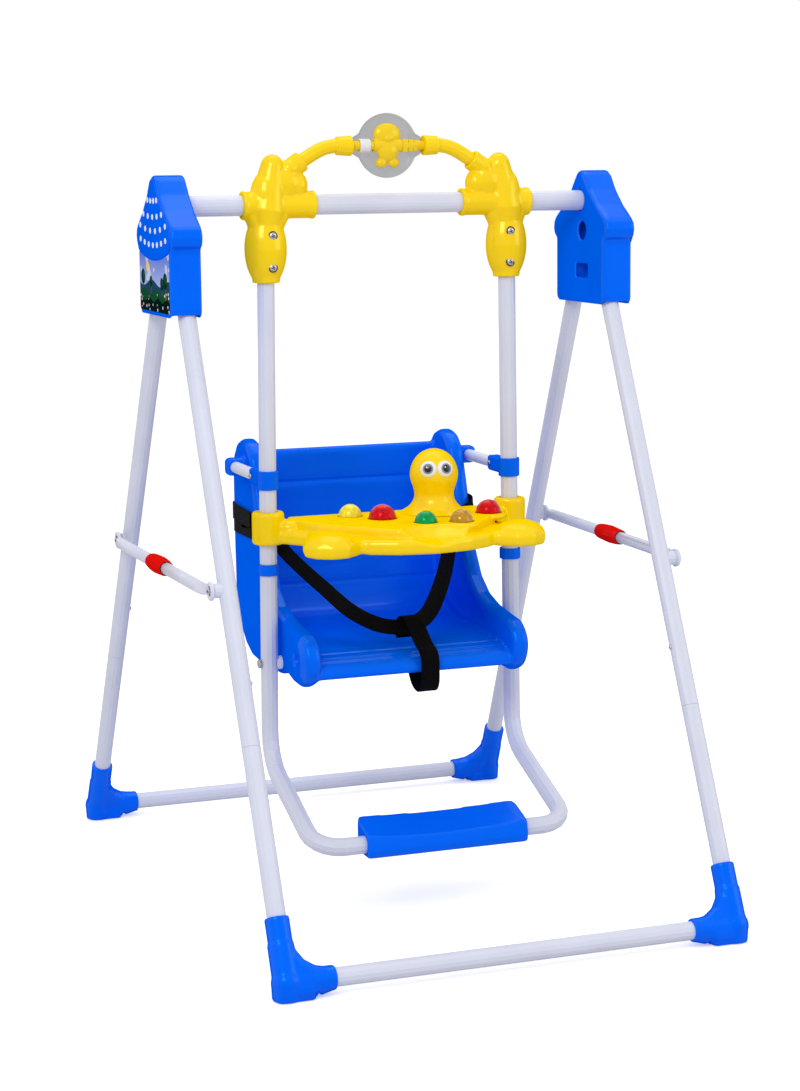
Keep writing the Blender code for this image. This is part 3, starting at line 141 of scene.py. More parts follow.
@dataclass
class Graph:
    """The nodes of a material or a world, with short ways to add and join them."""

    owner: bpy.types.Material | bpy.types.World

    def __post_init__(self) -> None:
        """Switches the owner's nodes on."""
        self.owner.use_nodes = True
        self.tree = self.owner.node_tree

    @classmethod
    def start(cls, name: str) -> "Graph":
        """A new material's graph, with the shader that a new material has.

        Args:
            name: the material's name.

        Returns:
            The graph.
        """
        return cls(bpy.data.materials.new(name))

    @property
    def shader(self) -> bpy.types.Node:
        """The material's main shader."""
        return self.tree.nodes["Principled BSDF"]

    def node(self, kind: str, **settings: object) -> bpy.types.Node:
        """Adds a node.

        Args:
            kind: the node's type.
            settings: its properties by name.

        Returns:
            The node.
        """
        made = self.tree.nodes.new(kind)
        for key, value in settings.items():
            setattr(made, key, value)
        return made

    def join(self, source: bpy.types.NodeSocket, target: bpy.types.NodeSocket) -> None:
        """Links one socket to another."""
        self.tree.links.new(source, target)

    def coat(self, tone: bpy.types.NodeSocket, rough: bpy.types.NodeSocket) -> None:
        """Joins a colour and a roughness to the shader."""
        self.join(tone, self.shader.inputs["Base Color"])
        self.join(rough, self.shader.inputs["Roughness"])

    def place(self) -> bpy.types.NodeSocket:
        """The point's place in the object's own axes."""
        return self.node("ShaderNodeTexCoord").outputs["Object"]

    def web(self) -> bpy.types.NodeSocket:
        """The point's place on the piece's own map."""
        return self.node("ShaderNodeTexCoord").outputs["UV"]

    def math(self, operation: str, first: object, second: object = None) -> bpy.types.NodeSocket:
        """One sum.

        Args:
            operation: the sum's kind.
            first: a socket or a number.
            second: a socket or a number, where the sum has two.

        Returns:
            The result's socket.
        """
        made = self.node("ShaderNodeMath", operation=operation)
        for socket, value in zip(made.inputs, (first, second)):
            if isinstance(value, bpy.types.NodeSocket):
                self.join(value, socket)
            elif value is not None:
                socket.default_value = value
        return made.outputs[0]

    def noise(self, place: bpy.types.NodeSocket, scale: float, detail: float = 2.0) -> bpy.types.NodeSocket:
        """Soft noise.

        Args:
            place: where to read it.
            scale: how many cells to a metre.
            detail: how many finer layers.

        Returns:
            The noise's value.
        """
        made = self.node("ShaderNodeTexNoise")
        made.inputs["Scale"].default_value = scale
        made.inputs["Detail"].default_value = detail
        self.join(place, made.inputs["Vector"])
        return made.outputs["Fac"]

    def cells(self, place: bpy.types.NodeSocket, scale: float) -> bpy.types.NodeSocket:
        """The distance to the nearest point in a field of cells.

        Args:
            place: where to read it.
            scale: how many cells to a metre.

        Returns:
            The distance.
        """
        made = self.node("ShaderNodeTexVoronoi", feature="F1")
        made.inputs["Scale"].default_value = scale
        self.join(place, made.inputs["Vector"])
        return made.outputs["Distance"]

    def span(self, value: bpy.types.NodeSocket, low: float, high: float) -> bpy.types.NodeSocket:
        """Spreads a value from 0 to 1 over a range.

        Args:
            value: the value.
            low: the result where it is 0.
            high: the result where it is 1.

        Returns:
            The result's socket.
        """
        made = self.node("ShaderNodeMapRange")
        made.inputs["To Min"].default_value = low
        made.inputs["To Max"].default_value = high
        self.join(value, made.inputs["Value"])
        return made.outputs["Result"]

    def ramp(self, value: bpy.types.NodeSocket,
             stops: Sequence[tuple[float, Colour]]) -> bpy.types.NodeSocket:
        """Colours by value.

        Args:
            value: the value.
            stops: places from 0 to 1 and their colours.

        Returns:
            The colour's socket.
        """
        made = self.node("ShaderNodeValToRGB")
        elements = made.color_ramp.elements
        while len(elements) < len(stops):
            elements.new(0.5)
        for element, (position, colour) in zip(elements, stops):
            element.position = position
            element.color = colour
        self.join(value, made.inputs["Fac"])
        return made.outputs["Color"]

    def mix(self, share: bpy.types.NodeSocket, first: object, second: object) -> bpy.types.NodeSocket:
        """Mixes two colours.

        Args:
            share: how much of the second.
            first: a colour or its socket.
            second: a colour or its socket.

        Returns:
            The mixed colour's socket.
        """
        made = self.node("ShaderNodeMix", data_type="RGBA")
        self.join(share, made.inputs["Factor"])
        for socket, value in ((made.inputs[6], first), (made.inputs[7], second)):
            if isinstance(value, bpy.types.NodeSocket):
                self.join(value, socket)
            else:
                socket.default_value = value
        return made.outputs[2]

    def gloss(self, level: float, tint: Tint) -> None:
        """Sets a gloss that is full where the surface faces the viewer and fades towards its edges.

        Args:
            level: the specular level where it faces the viewer.
            tint: the gloss's colour.
        """
        weight = self.node("ShaderNodeLayerWeight")
        weight.inputs["Blend"].default_value = 0.5
        fade = self.node("ShaderNodeMapRange", interpolation_type="SMOOTHSTEP")
        fade.inputs["From Min"].default_value = 0.12
        fade.inputs["From Max"].default_value = 0.58
        fade.inputs["To Min"].default_value = level
        fade.inputs["To Max"].default_value = 0.0
        self.join(weight.outputs["Facing"], fade.inputs["Value"])
        self.join(fade.outputs[0], self.shader.inputs["Specular IOR Level"])
        self.shader.inputs["Specular Tint"].default_value = tint.linear()

    def bump(self, height: bpy.types.NodeSocket, strength: float, distance: float) -> None:
        """Gives the shader a fine relief.

        Args:
            height: the relief's height, about 0 to 1.
            strength: how strong it is.
            distance: its real height in metres.
        """
        made = self.node("ShaderNodeBump")
        made.inputs["Strength"].default_value = strength
        made.inputs["Distance"].default_value = distance
        self.join(height, made.inputs["Height"])
        self.join(made.outputs["Normal"], self.shader.inputs["Normal"])


@dataclass(frozen=True)
class MouldedPlastic:
    """Glossy moulded plastic: slightly uneven in colour, with a faint flow and orange peel."""

    name: str
    tint: Tint
    roughness: float = 0.24
    mottle: float = 0.05
    specular: float = 0.42
    flow: float = 0.16
    gloss: Tint = Tint(255, 255, 255)

    def build(self) -> bpy.types.Material:
        """Makes the material."""
        graph = Graph.start(self.name)
        place = graph.place()
        cloud = graph.noise(place, 7.0, 3.0)
        tone = graph.ramp(cloud, (
            (0.30, self.tint.linear(1.0 - self.mottle)),
            (0.70, self.tint.linear(1.0 + self.mottle))))
        rubbed = graph.span(graph.noise(place, 85.0, 4.0), self.roughness - 0.05, self.roughness + 0.08)
        graph.coat(tone, rubbed)
        peel = graph.math("MULTIPLY", graph.noise(place, 240.0, 1.0), 0.06)
        drift = graph.math("MULTIPLY", graph.noise(place, 22.0, 2.0), 1.0)
        graph.bump(graph.math("ADD", peel, drift), self.flow, 0.0012)
        graph.gloss(self.specular, self.gloss)
        return graph.owner


@dataclass(frozen=True)
class PowderCoat:
    """White powder paint on steel tube: a cool white with a fine pebbled skin."""

    name: str
    tint: Tint
    roughness: float = 0.33

    def build(self) -> bpy.types.Material:
        """Makes the material."""
        graph = Graph.start(self.name)
        place = graph.place()
        cloud = graph.noise(place, 11.0, 3.0)
        tone = graph.ramp(cloud, ((0.32, self.tint.linear(0.965)), (0.68, self.tint.linear(1.02))))
        speck = graph.math("GREATER_THAN", graph.noise(place, 900.0, 2.0), 0.735)
        dusty = graph.mix(graph.math("MULTIPLY", speck, 0.10), tone, self.tint.linear(0.55))
        grain = graph.noise(place, 140.0, 3.0)
        graph.coat(dusty, graph.span(grain, self.roughness - 0.05, self.roughness + 0.06))
        pebble = graph.noise(place, 1300.0, 2.0)
        graph.bump(pebble, 0.10, 0.0003)
        graph.shader.inputs["Specular IOR Level"].default_value = 0.45
        return graph.owner


@dataclass(frozen=True)
class PlatedSteel:
    """Bright plated steel with fine turning marks and a few dull spots."""

    name: str
    tint: Tint

    def build(self) -> bpy.types.Material:
        """Makes the material."""
        graph = Graph.start(self.name)
        place = graph.place()
        dull = graph.noise(place, 260.0, 4.0)
        tone = graph.ramp(dull, ((0.35, self.tint.linear(0.75)), (0.70, self.tint.linear(1.0))))
        graph.coat(tone, graph.span(dull, 0.12, 0.34))
        graph.bump(graph.noise(place, 2400.0, 2.0), 0.08, 0.0002)
        graph.shader.inputs["Metallic"].default_value = 1.0
        return graph.owner


@dataclass(frozen=True)
class WovenWebbing:
    """Woven strap: ribs along the band in offset columns, with bound edges, a soft sheen and painted shade:
    its colour is darker in the grooves and lighter on the rib crests.
    """

    name: str
    tint: Tint
    rib: float = 0.0016
    column: float = 0.0035

    def build(self) -> bpy.types.Material:
        """Makes the material; its map has metres along the band and across it."""
        graph = Graph.start(self.name)
        shader = graph.shader
        split = graph.node("ShaderNodeSeparateXYZ")
        graph.join(graph.web(), split.inputs[0])
        along, across = split.outputs[0], split.outputs[1]
        column = graph.math("FLOOR", graph.math("DIVIDE", across, self.column))
        phase = graph.math("MULTIPLY", column, math.pi)
        turn = graph.math("ADD", graph.math("MULTIPLY", along, 2 * math.pi / self.rib), phase)
        ribs = graph.math("ABSOLUTE", graph.math("SINE", graph.math("MULTIPLY", turn, 0.5)))
        arch = graph.math("SINE", graph.math("MULTIPLY", across, math.pi / self.column))
        ridge = graph.math("ABSOLUTE", arch)
        weave = graph.math("MULTIPLY", ribs, graph.math("POWER", ridge, 0.5))
        fuzz = graph.noise(graph.place(), 1500.0, 3.0)
        height = graph.math("ADD", weave, graph.math("MULTIPLY", fuzz, 0.35))
        # Painted highlight and shade: the colour runs from dark in the weave's grooves to lighter than the
        # tint on the rib crests, following the relief's height.
        tone = graph.ramp(height, ((0.15, self.tint.linear(0.40)), (0.75, self.tint.linear(1.0)),
                                   (1.0, self.tint.linear(1.7))))
        graph.coat(tone, graph.span(fuzz, 0.62, 0.86))
        graph.bump(height, 0.75, 0.0007)
        shader.inputs["Sheen Weight"].default_value = 0.008
        shader.inputs["Sheen Roughness"].default_value = 0.45
        shader.inputs["Specular IOR Level"].default_value = 0.05
        return graph.owner


@dataclass(frozen=True)
class JewelPlastic:
    """A glossy press dome, its colour a little uneven, with light flecks inside it that are painted
    highlights standing for light caught by inner facets.
    """

    name: str
    tint: Tint
    sparkle_and_gloss_tint: Tint
    sparkle_amount: float = 0.35
    grain: float = 330.0

    def build(self) -> bpy.types.Material:
        """Makes the material."""
        graph = Graph.start(self.name)
        place = graph.place()
        shader = graph.shader
        facet = graph.cells(place, self.grain)
        haze = graph.noise(place, 160.0, 3.0)
        # Painted highlights: light flecks of the sparkle tint near the cells' middles stand for light caught
        # by facets inside the dome.
        glow = graph.math("MULTIPLY", graph.math("SUBTRACT", 1.0, facet), self.sparkle_amount)
        body = graph.ramp(haze, ((0.35, self.tint.linear(0.72)), (0.68, self.tint.linear(1.12))))
        graph.coat(graph.mix(glow, body, self.sparkle_and_gloss_tint.linear()), graph.span(haze, 0.03, 0.10))
        graph.bump(haze, 0.05, 0.0006)
        shader.inputs["Specular IOR Level"].default_value = 0.9
        shader.inputs["Specular Tint"].default_value = self.sparkle_and_gloss_tint.linear(1.2)
        return graph.owner


@dataclass(frozen=True)
class ClearShell:
    """Thin clear plastic: pale grey on a white ground, and darker where the wall is seen edge on."""

    name: str
    tint: Tint
    cover: float = 0.04
    rear: float = 0.58
    edge: float = 0.42

    def build(self) -> bpy.types.Material:
        """Makes the material."""
        graph = Graph.start(self.name)
        place = graph.place()
        shader = graph.shader
        haze = graph.noise(place, 34.0, 3.0)
        tone = graph.ramp(haze, ((0.30, self.tint.linear(0.92)), (0.70, self.tint.linear(1.04))))
        graph.coat(tone, graph.span(haze, 0.05, 0.12))
        rim = graph.node("ShaderNodeLayerWeight")
        rim.inputs["Blend"].default_value = 0.22
        thick = graph.math("MULTIPLY", graph.math("POWER", rim.outputs["Facing"], 1.6), self.edge)
        split = graph.node("ShaderNodeSeparateXYZ")
        graph.join(place, split.inputs[0])
        rear = graph.node("ShaderNodeMapRange", interpolation_type="SMOOTHSTEP")
        rear.inputs["From Min"].default_value = -0.002
        rear.inputs["From Max"].default_value = 0.004
        rear.inputs["To Min"].default_value = 0.0
        rear.inputs["To Max"].default_value = self.rear
        graph.join(split.outputs[1], rear.inputs["Value"])
        base = graph.math("ADD", graph.span(haze, self.cover - 0.01, self.cover + 0.01), rear.outputs[0])
        scuffed = graph.math("ADD", base, thick)
        graph.join(graph.math("MINIMUM", scuffed, 0.80), shader.inputs["Alpha"])
        graph.bump(graph.noise(place, 60.0, 1.0), 0.06, 0.0010)
        shader.inputs["Specular IOR Level"].default_value = 0.25
        return graph.owner


@dataclass(frozen=True)
class MeadowPrint:
    """A printed film: a meadow with hills, round trees, a sun and flowers under an evening sky."""

    name: str
    sky_low: Tint = Tint(176, 190, 240)
    sky_high: Tint = Tint(96, 122, 214)
    far_hill: Tint = Tint(34, 74, 96)
    near_hill: Tint = Tint(20, 82, 50)
    meadow: Tint = Tint(8, 30, 28)
    tree: Tint = Tint(10, 50, 44)
    trunk: Tint = Tint(104, 72, 48)
    sun: Tint = Tint(248, 205, 90)
    petal: Tint = Tint(238, 238, 240)
    berry: Tint = Tint(196, 52, 60)
    sun_at: tuple[float, float] = (0.040, 1.0085)
    sun_radius: float = 0.0085
    far_line: tuple[float, float, float, float] = (0.9840, 0.0050, 62.0, 0.6)
    near_line: tuple[float, float, float, float] = (0.9700, 0.0042, 88.0, 2.1)
    low_line: tuple[float, float, float, float] = (0.9580, 0.0030, 120.0, 4.0)
    trees: tuple[tuple[float, float, float], ...] = (
        (-0.066, 0.9890, 0.0125), (-0.046, 0.9840, 0.0100), (0.020, 0.9865, 0.0085),
        (0.068, 0.9920, 0.0120))

    def wave(self, graph: Graph, across: bpy.types.NodeSocket, base: float, rise: float,
             turns: float, start: float) -> bpy.types.NodeSocket:
        """The height of a hill's line.

        Args:
            graph: the material's graph.
            across: the place across the print.
            base: the line's middle height.
            rise: how far it goes up and down.
            turns: radians to a metre.
            start: the angle at the middle.

        Returns:
            The height's socket.
        """
        angle = graph.math("ADD", graph.math("MULTIPLY", across, turns), start)
        return graph.math("ADD", graph.math("MULTIPLY", graph.math("SINE", angle), rise), base)

    def disc(self, graph: Graph, across: bpy.types.NodeSocket, up: bpy.types.NodeSocket,
             centre: tuple[float, float], radius: float) -> bpy.types.NodeSocket:
        """1 inside a round spot and 0 outside it.

        Args:
            graph: the material's graph.
            across: the place across the print.
            up: the place up the print.
            centre: the spot's middle.
            radius: its radius.

        Returns:
            The mask's socket.
        """
        aside = graph.math("POWER", graph.math("SUBTRACT", across, centre[0]), 2.0)
        above = graph.math("POWER", graph.math("SUBTRACT", up, centre[1]), 2.0)
        return graph.math("LESS_THAN", graph.math("ADD", aside, above), radius * radius)

    def post(self, graph: Graph, across: bpy.types.NodeSocket, up: bpy.types.NodeSocket,
             centre: tuple[float, float], half: tuple[float, float]) -> bpy.types.NodeSocket:
        """1 inside an upright bar and 0 outside it.

        Args:
            graph: the material's graph.
            across: the place across the print.
            up: the place up the print.
            centre: the bar's middle.
            half: its half width and half height.

        Returns:
            The mask's socket.
        """
        aside = graph.math("ABSOLUTE", graph.math("SUBTRACT", across, centre[0]))
        above = graph.math("ABSOLUTE", graph.math("SUBTRACT", up, centre[1]))
        return graph.math("MULTIPLY", graph.math("LESS_THAN", aside, half[0]),
                          graph.math("LESS_THAN", above, half[1]))

    def build(self) -> bpy.types.Material:
        """Makes the material."""
        graph = Graph.start(self.name)
        place = graph.place()
        split = graph.node("ShaderNodeSeparateXYZ")
        graph.join(place, split.inputs[0])
        across, up = split.outputs[1], split.outputs[2]
        height = graph.node("ShaderNodeMapRange")
        height.inputs["From Min"].default_value = 0.975
        height.inputs["From Max"].default_value = 1.030
        graph.join(up, height.inputs["Value"])
        cloud = graph.math("GREATER_THAN", graph.noise(place, 46.0, 1.0), 0.60)
        sky = graph.ramp(height.outputs[0], ((0.0, self.sky_low.linear()), (1.0, self.sky_high.linear())))
        picture = graph.mix(graph.math("MULTIPLY", cloud, 0.55), sky, self.petal.linear())
        sun = self.disc(graph, across, up, self.sun_at, self.sun_radius)
        picture = graph.mix(sun, picture, self.sun.linear())
        far = graph.math("LESS_THAN", up, self.wave(graph, across, *self.far_line))
        picture = graph.mix(far, picture, self.far_hill.linear())
        for y, z, radius in self.trees:
            stem = self.post(graph, across, up, (y, z - radius - 0.003), (0.0018, 0.008))
            picture = graph.mix(stem, picture, self.trunk.linear())
            picture = graph.mix(self.disc(graph, across, up, (y, z), radius), picture, self.tree.linear())
            bright = self.disc(graph, across, up, (y - 0.003, z + 0.002), radius * 0.55)
            picture = graph.mix(bright, picture, self.near_hill.linear())
        near = graph.math("LESS_THAN", up, self.wave(graph, across, *self.near_line))
        picture = graph.mix(near, picture, self.near_hill.linear())
        low = graph.math("LESS_THAN", up, self.wave(graph, across, *self.low_line))
        picture = graph.mix(low, picture, self.meadow.linear())
        bloom = graph.math("LESS_THAN", graph.cells(place, 92.0), 0.23)
        picture = graph.mix(graph.math("MULTIPLY", bloom, near), picture, self.petal.linear())
        fruit = graph.math("LESS_THAN", graph.cells(place, 61.0), 0.17)
        picture = graph.mix(graph.math("MULTIPLY", fruit, near), picture, self.berry.linear())
        graph.coat(picture, graph.span(graph.noise(place, 120.0, 2.0), 0.22, 0.34))
        graph.bump(graph.noise(place, 90.0, 2.0), 0.06, 0.0004)
        graph.gloss(0.4, self.petal)
        return graph.owner


@dataclass(frozen=True)
class Palette:
    """The tints of this swing set."""

    blue: Tint = Tint(0, 102, 254)
    yellow: Tint = Tint(255, 213, 0)
    paint: Tint = Tint(216, 219, 235)
    red: Tint = Tint(226, 20, 16)
    dome_red: Tint = Tint(205, 4, 16)
    dome_yellow: Tint = Tint(255, 228, 30)
    green: Tint = Tint(0, 142, 66)
    amber: Tint = Tint(178, 122, 18)
    white: Tint = Tint(238, 238, 240)
    black: Tint = Tint(6, 6, 9)
    steel: Tint = Tint(196, 197, 202)
    clear: Tint = Tint(108, 114, 124)
    iris: Tint = Tint(132, 140, 150)


@dataclass
class Finishes:
    """Every finish of the set, made once."""

    palette: Palette = field(default_factory=Palette)

    def __post_init__(self) -> None:
        """Makes the materials."""
        tints = self.palette
        self.blue = MouldedPlastic("moulded_blue", tints.blue, roughness=0.17, mottle=0.04, specular=1.0,
                                   flow=0.10, gloss=Tint(50, 140, 255)).build()
        self.yellow = MouldedPlastic("moulded_yellow", tints.yellow, roughness=0.17, mottle=0.04,
                                     specular=1.0, flow=0.12, gloss=Tint(255, 238, 140)).build()
        self.white_paint = PowderCoat("white_powder_coat", tints.paint).build()
        self.red = MouldedPlastic("moulded_red", tints.red, roughness=0.26, mottle=0.05, specular=0.35,
                                  flow=0.12, gloss=Tint(255, 130, 110)).build()
        self.white = MouldedPlastic("moulded_white", tints.white, roughness=0.34, mottle=0.03).build()
        self.gloss_black = MouldedPlastic("gloss_black", tints.black, roughness=0.10, mottle=0.10).build()
        self.iris = MouldedPlastic("eye_grey", tints.iris, roughness=0.16, mottle=0.12).build()
        self.dome_yellow = JewelPlastic("dome_yellow", tints.dome_yellow, Tint(255, 240, 130),
                                        sparkle_amount=0.20).build()
        self.dome_red = JewelPlastic("dome_red", tints.dome_red, Tint(244, 66, 74), sparkle_amount=0.14).build()
        self.dome_green = JewelPlastic("dome_green", tints.green, Tint(70, 206, 140), sparkle_amount=0.14).build()
        self.dome_amber = JewelPlastic("dome_amber", tints.amber, Tint(240, 198, 96), sparkle_amount=0.32,
                                       grain=260.0).build()
        self.webbing = WovenWebbing("black_webbing", tints.black).build()
        self.steel = PlatedSteel("plated_steel", tints.steel).build()
        self.clear = ClearShell("clear_case", tints.clear).build()
        self.print = MeadowPrint("meadow_print").build()

    def for_node(self, node: str) -> bpy.types.Material:
        """The finish of a CAD node.

        Args:
            node: the node's name.

        Returns:
            Its material.
        """
        by_start: dict[str, bpy.types.Material] = {
            "arch": self.yellow, "brace_front": self.white_paint, "brace_rear": self.white_paint,
            "brace_sleeve": self.red, "clamp": self.blue, "crossbar": self.white_paint,
            "dome_amber": self.dome_amber, "dome_green": self.dome_green, "dome_red": self.dome_red,
            "dome_yellow": self.dome_yellow, "floor_bar": self.white_paint, "foot_": self.blue,
            "footrest": self.blue, "hanger": self.yellow, "house": self.blue, "leg_": self.white_paint,
            "link": self.white_paint, "pin": self.steel, "seat": self.blue, "seat_bolt": self.steel,
            "seat_bush": self.white, "spindle": self.yellow, "spinner_bear": self.yellow,
            "spinner_case": self.clear, "stop_ring": self.blue, "strap": self.webbing,
            "swing_tube": self.white_paint, "toy_head": self.yellow, "tray": self.yellow}
        best = max((start for start in by_start if node.startswith(start)), key=len)
        return by_start[best]


def dress_nodes(finishes: Finishes) -> None:
    """Gives every CAD node its finish.

    Args:
        finishes: the set's finishes.
    """
    for name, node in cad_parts.items():
        material = finishes.for_node(name)
        if not node.material_slots:
            node.data.materials.append(material)
        for place in node.material_slots:
            place.material = material
        LOG.info("dressed node %s in %s", name, material.name)


def aimed(centre: Sequence[float], direction: Sequence[float]) -> Matrix:
    """A placing that turns local Z to a direction and keeps local Y upright.

    Args:
        centre: where the local origin goes.
        direction: where local Z points.

    Returns:
        The matrix.
    """
    turn = Vector(direction).normalized().to_track_quat("Z", "Y").to_matrix().to_4x4()
    return Matrix.Translation(Vector(centre)) @ turn


def spun(profile: Sequence[tuple[float, float]], steps: int = 32) -> bmesh.types.BMesh:
    """A shape turned about local Z.

    Args:
        profile: radius and height, down its outer side.
        steps: how many steps a full turn has.

    Returns:
        The closed mesh.
    """
    bm = bmesh.new()
    points = [bm.verts.new((radius, 0.0, height)) for radius, height in profile]
    edges = [bm.edges.new(pair) for pair in zip(points, points[1:])]
    bmesh.ops.spin(bm, geom=points + edges, cent=(0, 0, 0), axis=(0, 0, 1), dvec=(0, 0, 0),
                   angle=2 * math.pi, steps=steps, use_merge=True)
    bmesh.ops.remove_doubles(bm, verts=bm.verts, dist=WELD)
    bmesh.ops.recalc_face_normals(bm, faces=bm.faces)
    return bm


def eased(bm: bmesh.types.BMesh, width: float, segments: int = 2) -> bmesh.types.BMesh:
    """Rounds a mesh's sharp edges.

    Args:
        bm: the mesh.
        width: the rounding's width.
        segments: its steps.

    Returns:
        The same mesh.
    """
    sharp = [edge for edge in bm.edges
             if len(edge.link_faces) == 2 and edge.calc_face_angle() > SHARP_EDGE]
    bmesh.ops.bevel(bm, geom=sharp, offset=width, offset_type="OFFSET", affect="EDGES",
                    segments=segments, profile=0.5, material=-1, clamp_overlap=True)
    return bm


def raise_faces(bm: bmesh.types.BMesh, faces: Sequence[bmesh.types.BMFace], height: float) -> None:
    """Draws flat faces up along local Z into a closed block.

    Args:
        bm: their mesh.
        faces: the faces.
        height: how far up.
    """
    grown = bmesh.ops.extrude_face_region(bm, geom=list(faces))["geom"]
    lifted = [part for part in grown if isinstance(part, bmesh.types.BMVert)]
    bmesh.ops.translate(bm, vec=(0, 0, height), verts=lifted)
    bmesh.ops.recalc_face_normals(bm, faces=bm.faces)


def dome_profile(radius: float, height: float, steps: int) -> list[tuple[float, float]]:
    """A dome's outline from its top towards its rim, which is left out.

    Args:
        radius: the rim's radius.
        height: the top's height.
        steps: how many steps a quarter turn has.

    Returns:
        Radius and height at each step.
    """
    outline = [(0.0, height)]
    for step in range(1, steps):
        angle = math.pi / 2 * step / steps
        outline.append((radius * math.sin(angle), height * math.cos(angle)))
    return outline


def soft_point(bends: Sequence[Vector], share: float) -> Vector:
    """A point of the soft curve through four bends, between the second and the third.

    Args:
        bends: the four bends.
        share: how far along, from 0 to 1.

    Returns:
        The point.
    """
    before, start, end, after = bends
    return 0.5 * (2 * start + (end - before) * share
                  + (2 * before - 5 * start + 4 * end - after) * share ** 2
                  + (3 * start - before - 3 * end + after) * share ** 3)


def sided(side: Side, points: Iterable[Point]) -> list[Point]:
    """Points of the right side, turned over where the side is the left one.

    Args:
        side: the side.
        points: the points.

    Returns:
        The points of that side.
    """
    return [(side.value * x, y, z) for x, y, z in points]


def slab(outline: Sequence[tuple[float, float]], thickness: float, ease: float) -> bmesh.types.BMesh:
    """A flat plate in local X and Y, from local Z = 0 up.

    Args:
        outline: its corners, anticlockwise.
        thickness: its thickness.
        ease: how much its edges are rounded.

    Returns:
        The closed mesh.
    """
    bm = bmesh.new()
    face = bm.faces.new([bm.verts.new((x, y, 0.0)) for x, y in outline])
    raise_faces(bm, [face], thickness)
    return eased(bm, ease, 2)


def merged(parts: Iterable[tuple[bmesh.types.BMesh, Matrix]]) -> bmesh.types.BMesh:
    """Puts several meshes, each placed by a matrix, into one.

    Args:
        parts: the meshes and their placings.

    Returns:
        The joined mesh.
    """
    whole = bmesh.new()
    for bm, matrix in parts:
        bmesh.ops.transform(bm, matrix=matrix, verts=bm.verts)
        if matrix.determinant() < 0:
            bmesh.ops.reverse_faces(bm, faces=bm.faces)
        mesh = bpy.data.meshes.new("part")
        bm.to_mesh(mesh)
        bm.free()
        whole.from_mesh(mesh)
        bpy.data.meshes.remove(mesh)
    return whole


def piece(name: str, bm: bmesh.types.BMesh, materials: Sequence[bpy.types.Material], body: str,
          smooth_angle: float = 0.7) -> bpy.types.Object:
    """Makes an object of a mesh and lets it ride on a body.

    Args:
        name: the piece's name.
        bm: its mesh, in place.
        materials: its finishes.
        body: the CAD body that it rides on.
        smooth_angle: edges sharper than this stay sharp.

    Returns:
        The object.
    """
    mesh = bpy.data.meshes.new(name)
    bm.to_mesh(mesh)
    bm.free()
    for material in materials:
        mesh.materials.append(material)
    mesh.shade_smooth()
    mesh.set_sharp_from_angle(angle=smooth_angle)
    made = bpy.data.objects.new(name, mesh)
    bpy.context.scene.collection.objects.link(made)
    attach(made, body)
    LOG.info("made %s on %s, %d faces", name, body, len(mesh.polygons))
    return made


def stood(bm: bmesh.types.BMesh) -> bpy.types.Object:
    """Stands a mesh in the scene for a moment, so that modifiers can work on it.

    Args:
        bm: the mesh, which is used up.

    Returns:
        The object.
    """
    mesh = bpy.data.meshes.new("blank")
    bm.to_mesh(mesh)
    bm.free()
    made = bpy.data.objects.new("blank", mesh)
    bpy.context.scene.collection.objects.link(made)
    return made


def taken(blank: bpy.types.Object, *tools: bpy.types.Object) -> bmesh.types.BMesh:
    """Takes the finished mesh off a standing object and clears it and its tools away.

    Args:
        blank: the standing object, with its modifiers.
        tools: other objects that its modifiers used.

    Returns:
        The mesh as its modifiers leave it.
    """
    graph = bpy.context.evaluated_depsgraph_get()
    mesh = bpy.data.meshes.new_from_object(blank.evaluated_get(graph))
    bm = bmesh.new()
    bm.from_mesh(mesh)
    bpy.data.meshes.remove(mesh)
    for used in (blank, *tools):
        data = used.data
        bpy.data.objects.remove(used, do_unlink=True)
        bpy.data.meshes.remove(data)
    return bm


def moulded(bm: bmesh.types.BMesh, grain: float, rounds: int) -> bmesh.types.BMesh:
    """Flows overlapping shapes into one soft form, as a mould does.

    Args:
        bm: the shapes.
        grain: the size of the new faces.
        rounds: how often the form is softened.

    Returns:
        The closed form.
    """
    blank = stood(bm)
    flow = blank.modifiers.new("flow", "REMESH")
    flow.mode = "VOXEL"
    flow.voxel_size = grain
    soften = blank.modifiers.new("soften", "SMOOTH")
    soften.factor = SOFTENING
    soften.iterations = rounds
    return taken(blank)


def bored(bm: bmesh.types.BMesh, *cutters: bmesh.types.BMesh) -> bmesh.types.BMesh:
    """Cuts shapes out of a form.

    Args:
        bm: the form.
        cutters: the shapes to cut, in place.

    Returns:
        What is left.
    """
    blank = stood(bm)
    tools = [stood(cutter) for cutter in cutters]
    for tool in tools:
        cut = blank.modifiers.new("cut", "BOOLEAN")
        cut.operation = "DIFFERENCE"
        cut.solver = "MANIFOLD"
        cut.object = tool
    return taken(blank, *tools)


def copied(node: str) -> bmesh.types.BMesh:
    """A CAD node's mesh with its loose faces merged.

    Args:
        node: the node's name.

    Returns:
        The closed mesh.
    """
    bm = bmesh.new()
    bm.from_mesh(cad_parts[node].data)
    bmesh.ops.remove_doubles(bm, verts=bm.verts, dist=CAD_WELD)
    return bm


def globe(centre: Sequence[float], radii: Sequence[float], segments: int = 40) -> bmesh.types.BMesh:
    """A ball or an egg.

    Args:
        centre: its middle.
        radii: its three half sizes.
        segments: its faces around.

    Returns:
        The closed mesh.
    """
    bm = bmesh.new()
    bmesh.ops.create_uvsphere(bm, u_segments=segments, v_segments=segments // 2, radius=1.0)
    bmesh.ops.scale(bm, vec=radii, verts=bm.verts)
    bmesh.ops.translate(bm, vec=centre, verts=bm.verts)
    return bm


